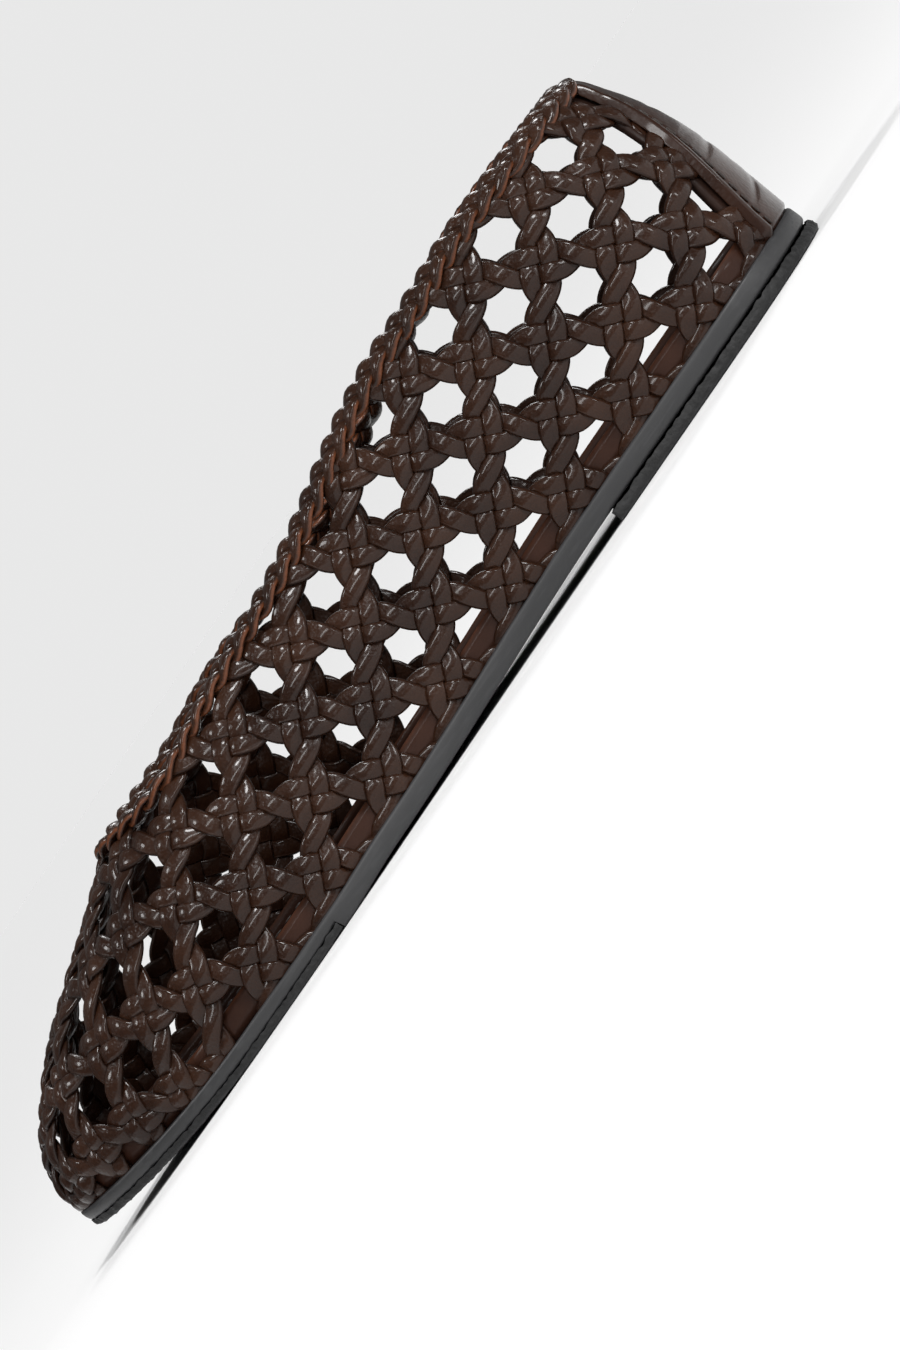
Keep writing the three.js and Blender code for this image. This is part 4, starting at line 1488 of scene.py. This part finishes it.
# %% Mould the outsole
def make_outsole():
    bm = bmesh.new()
    rings = [
        (SOLE_ROUND, lambda along, row: sole_under(along, row)),
        (0.85, lambda along, row: sole_under(along, row) + 0.1),
        (0.35, lambda along, row: sole_under(along, row) + 0.4),
        (0.08, lambda along, row: sole_under(along, row) + 0.9),
        (0.0, lambda along, row: mix(sole_under(along, row), sole_top(along), 0.5)),
        (0.0, lambda along, row: sole_top(along) - 0.7),
        (0.12, lambda along, row: sole_top(along) - 0.3),
        (0.4, lambda along, row: sole_top(along) - 0.06),
        (0.9, lambda along, row: sole_top(along)),
        (SOLE_LAP, lambda along, row: sole_top(along)),
    ]
    wall(bm, SOLE_ROWS, sole_row, rings)
    plate(bm, SOLE_ROWS, SOLE_COLUMNS, sole_row, SOLE_ROUND, lambda x, along, row: sole_under(along, row))
    bmesh.ops.remove_doubles(bm, verts=bm.verts, dist=2 * WELD)
    bmesh.ops.recalc_face_normals(bm, faces=bm.faces)
    finish_piece(bm, "moulded_outsole", sole_rubber, ("outsole",))


make_outsole()

# %% [markdown]
# ## The crinkled pads
# The tread and the heel lift are thin pads of crinkled rubber, like bark. A displacement texture
# could do it, but it would need a much finer mesh, and a bump alone leaves the pad's edge straight.
# So the coarse crinkle is modelled: cells of a Voronoi pattern, swayed by noise, keep the full
# height, and the valleys between them go up half a millimetre. Noise also frays the cut edge.
# The depth of each vertex is kept as the mark, for the finish.

# %% Crinkle
CRINKLE_CELL = 2.1
CELL_STRETCH = 0.8
CRINKLE_DEEP = 0.55
CRINKLE_SWAY = 0.75
SWAY_LENGTH = 3
VALLEY = 0.45


def crinkle(x, y):
    sideways = noise.noise(Vector((x / SWAY_LENGTH, y / SWAY_LENGTH, 1)))
    lengthways = noise.noise(Vector((x / SWAY_LENGTH, y / SWAY_LENGTH, 7)))
    sway = Vector((sideways, lengthways, 0)) * CRINKLE_SWAY
    near = noise.voronoi(Vector((x, y * CELL_STRETCH, 0)) / CRINKLE_CELL + sway)[0]
    return 1 - smooth((near[1] - near[0]) / VALLEY)


print("crinkle along a line", [round(crinkle(x, 0), 2) for x in range(6)])

# %% [markdown]
# Each pad is one call of the same function: its rows, the height of its underside, its thickness
# and how far its side stands in or out of the sole's edge. Noise frays it. Vertices that lie high
# above the underside, on the wall and deep in the valleys, are moved the full way. Those that the
# shoe stands on are moved less, and none goes below the floor. `noise_vector` starts from a random
# offset in every session, so it gets a seed, and the pads come out the same each time.

# %% Crinkled pads
LIFT_ROWS, LIFT_COLUMNS = 150, 130
TREAD_ROWS, TREAD_COLUMNS = 210, 170
TREAD_INSET = 0.1
PAD_LIP = 0.75
VALLEY_MARK = 0.8
EDGE_DEPTH = 0.6
FRAY = 0.35
PLATE_FRAY = 0.3 * FRAY
FRAY_LENGTH = 1.3
FRAY_SEED = 5
noise.seed_set(FRAY_SEED)


def lift_row(across, row):
    return BREAST_ALONG * (1 - math.cos(QUARTER * row / LIFT_ROWS))


def tread_row(across, row):
    edge = tread_edge(across) + STEP_GAP
    return mix(edge, SHOE_LENGTH, math.sin(QUARTER * row / TREAD_ROWS))


def make_pad(name, rows, columns, row_along, bottom, thickness, inset, flare, material, node):
    bm = bmesh.new()
    lip = inset + PAD_LIP
    rings = [
        (lip, lambda along, row: bottom(along) + 0.12),
        (inset + 0.3, lambda along, row: bottom(along) + 0.28),
        (inset + 0.05, lambda along, row: bottom(along) + 0.7),
        (inset, lambda along, row: bottom(along) + thickness * 0.6),
        (inset + flare, lambda along, row: bottom(along) + thickness),
    ]
    wall(bm, rows, row_along, rings)

    def height(x, along, row):
        return bottom(along) + CRINKLE_DEEP * crinkle(x, along)

    plate(bm, rows, columns, row_along, lip, height)
    layer = bm.verts.layers.float["mark"]
    for vert in bm.verts:
        flat = vert.co / MM - SHIFT
        deep = (flat.z - bottom(-flat.y)) / CRINKLE_DEEP
        vert[layer] = clamp(deep) * VALLEY_MARK
        fray = FRAY if deep > EDGE_DEPTH else PLATE_FRAY
        vert.co += noise.noise_vector(flat / FRAY_LENGTH) * fray * MM
        vert.co.z = max(vert.co.z, 0)
    bmesh.ops.remove_doubles(bm, verts=bm.verts, dist=2 * WELD)
    bmesh.ops.recalc_face_normals(bm, faces=bm.faces)
    finish_piece(bm, name, material, (node,))


make_pad("crinkled_heel_lift", LIFT_ROWS, LIFT_COLUMNS, lift_row, lambda along: 0.0,
         HEEL_STEP - CLEARANCE, -LIFT_FLARE, LIFT_FLARE, heel_rubber, "heel_lift")
make_pad("crinkled_tread", TREAD_ROWS, TREAD_COLUMNS, tread_row, tread_bottom,
         TREAD_THICKNESS, TREAD_INSET, 0.0, tread_rubber, "forefoot_tread")

# %% [markdown]
# ## The sock
# The sock is the leather-covered insole that the foot stands on. It is another slab, dished a
# little under the heel and the ball, where the foot presses, and its edge is rounded over a thin
# foam. The two presses are bell curves, and they serve twice: they dent the plate, and as the mark
# they tell the finish where the leather has gone darker with wear.

# %% Dents of the sock
SOCK_ROWS = 120
SOCK_INSET = UPPER_INSET + 2 * CLEARANCE
SOCK_COLUMNS = 60
SOCK_ROUND = 1.6
HEEL_PRESS = {"along": 36, "x": -0.5, "long": 26, "wide": 17, "deep": 0.9}
BALL_PRESS = {"along": 172, "x": -3, "long": 24, "wide": 24, "deep": 0.6}
SOCK_WAVE = 0.04
WAVE_LENGTH = 9


def sock_row(across, row):
    return SHOE_LENGTH * (1 - math.cos(math.pi * row / SOCK_ROWS)) / 2


def pressed(press, x, along):
    ahead = (along - press["along"]) / press["long"]
    aside = (x - press["x"]) / press["wide"]
    return math.exp(-ahead ** 2 - aside ** 2)


def sock_height(x, along, row=0):
    top = sole_top(along) + CLEARANCE + INSOLE_THICKNESS
    dents = sum(press["deep"] * pressed(press, x, along) for press in (HEEL_PRESS, BALL_PRESS))
    wave = SOCK_WAVE * noise.noise(Vector((x / WAVE_LENGTH, along / WAVE_LENGTH, 3)))
    return top - dents - wave


print("sock under the heel", round(sock_height(0, HEEL_PRESS["along"]), 1), "mm above the floor")

# %% Sock
WEAR = 0.85
BALL_WEAR = 0.8
SOCK_WELD = 0.00002


def make_sock():
    bm = bmesh.new()
    rings = [
        (SOCK_INSET, lambda along, row: sole_top(along) + CLEARANCE),
        (SOCK_INSET, lambda along, row: sole_top(along) + INSOLE_THICKNESS - 0.9),
        (SOCK_INSET + 0.25, lambda along, row: sole_top(along) + INSOLE_THICKNESS - 0.25),
        (SOCK_INSET + 0.8, lambda along, row: sole_top(along) + INSOLE_THICKNESS + 0.15),
        (SOCK_INSET + SOCK_ROUND, lambda along, row: sole_top(along) + INSOLE_THICKNESS + CLEARANCE),
    ]
    wall(bm, SOCK_ROWS, sock_row, rings)
    plate(bm, SOCK_ROWS, SOCK_COLUMNS, sock_row, SOCK_INSET + SOCK_ROUND, sock_height)
    layer = bm.verts.layers.float["mark"]
    for vert in bm.verts:
        flat = vert.co / MM - SHIFT
        heel = pressed(HEEL_PRESS, flat.x, -flat.y)
        ball = pressed(BALL_PRESS, flat.x, -flat.y)
        vert[layer] = WEAR * max(heel, BALL_WEAR * ball)
    bmesh.ops.remove_doubles(bm, verts=bm.verts, dist=SOCK_WELD)
    bmesh.ops.recalc_face_normals(bm, faces=bm.faces)
    finish_piece(bm, "leather_sock", sock_leather, ("insole",))


make_sock()

# %% [markdown]
# A line of stitches runs round the sock, inside its edge, and holds the leather to the board. It
# uses the same stitch as the back strip. Its places come from the ring, and their height from the
# sock's own formula, so the thread lies on the dents too.

# %% Stitches of the sock
SOCK_STITCH_AT = 4.0
SOCK_STITCH_PITCH = 3.4
SOCK_STITCH_HALF = 0.33
SOCK_STITCH_LIFT = 0.08
SOCK_STITCH_RADIUS = 0.3


def make_sock_stitches():
    bm = bmesh.new()
    start = -side_length[INNER]
    count = round((side_length[OUTER] - start) / SOCK_STITCH_PITCH)
    for k in range(count):
        ends = []
        for part in (-SOCK_STITCH_HALF, SOCK_STITCH_HALF):
            flat = ring_plan(start + (k + part) * SOCK_STITCH_PITCH, SOCK_INSET + SOCK_STITCH_AT)
            height = sock_height(flat.x, -flat.y) + SOCK_STITCH_LIFT
            ends.append(to_frame(Vector((flat.x, flat.y, height))))
        stitch(bm, ends, SOCK_STITCH_RADIUS)
    finish_piece(bm, "sock_stitches", thread, ())


make_sock_stitches()
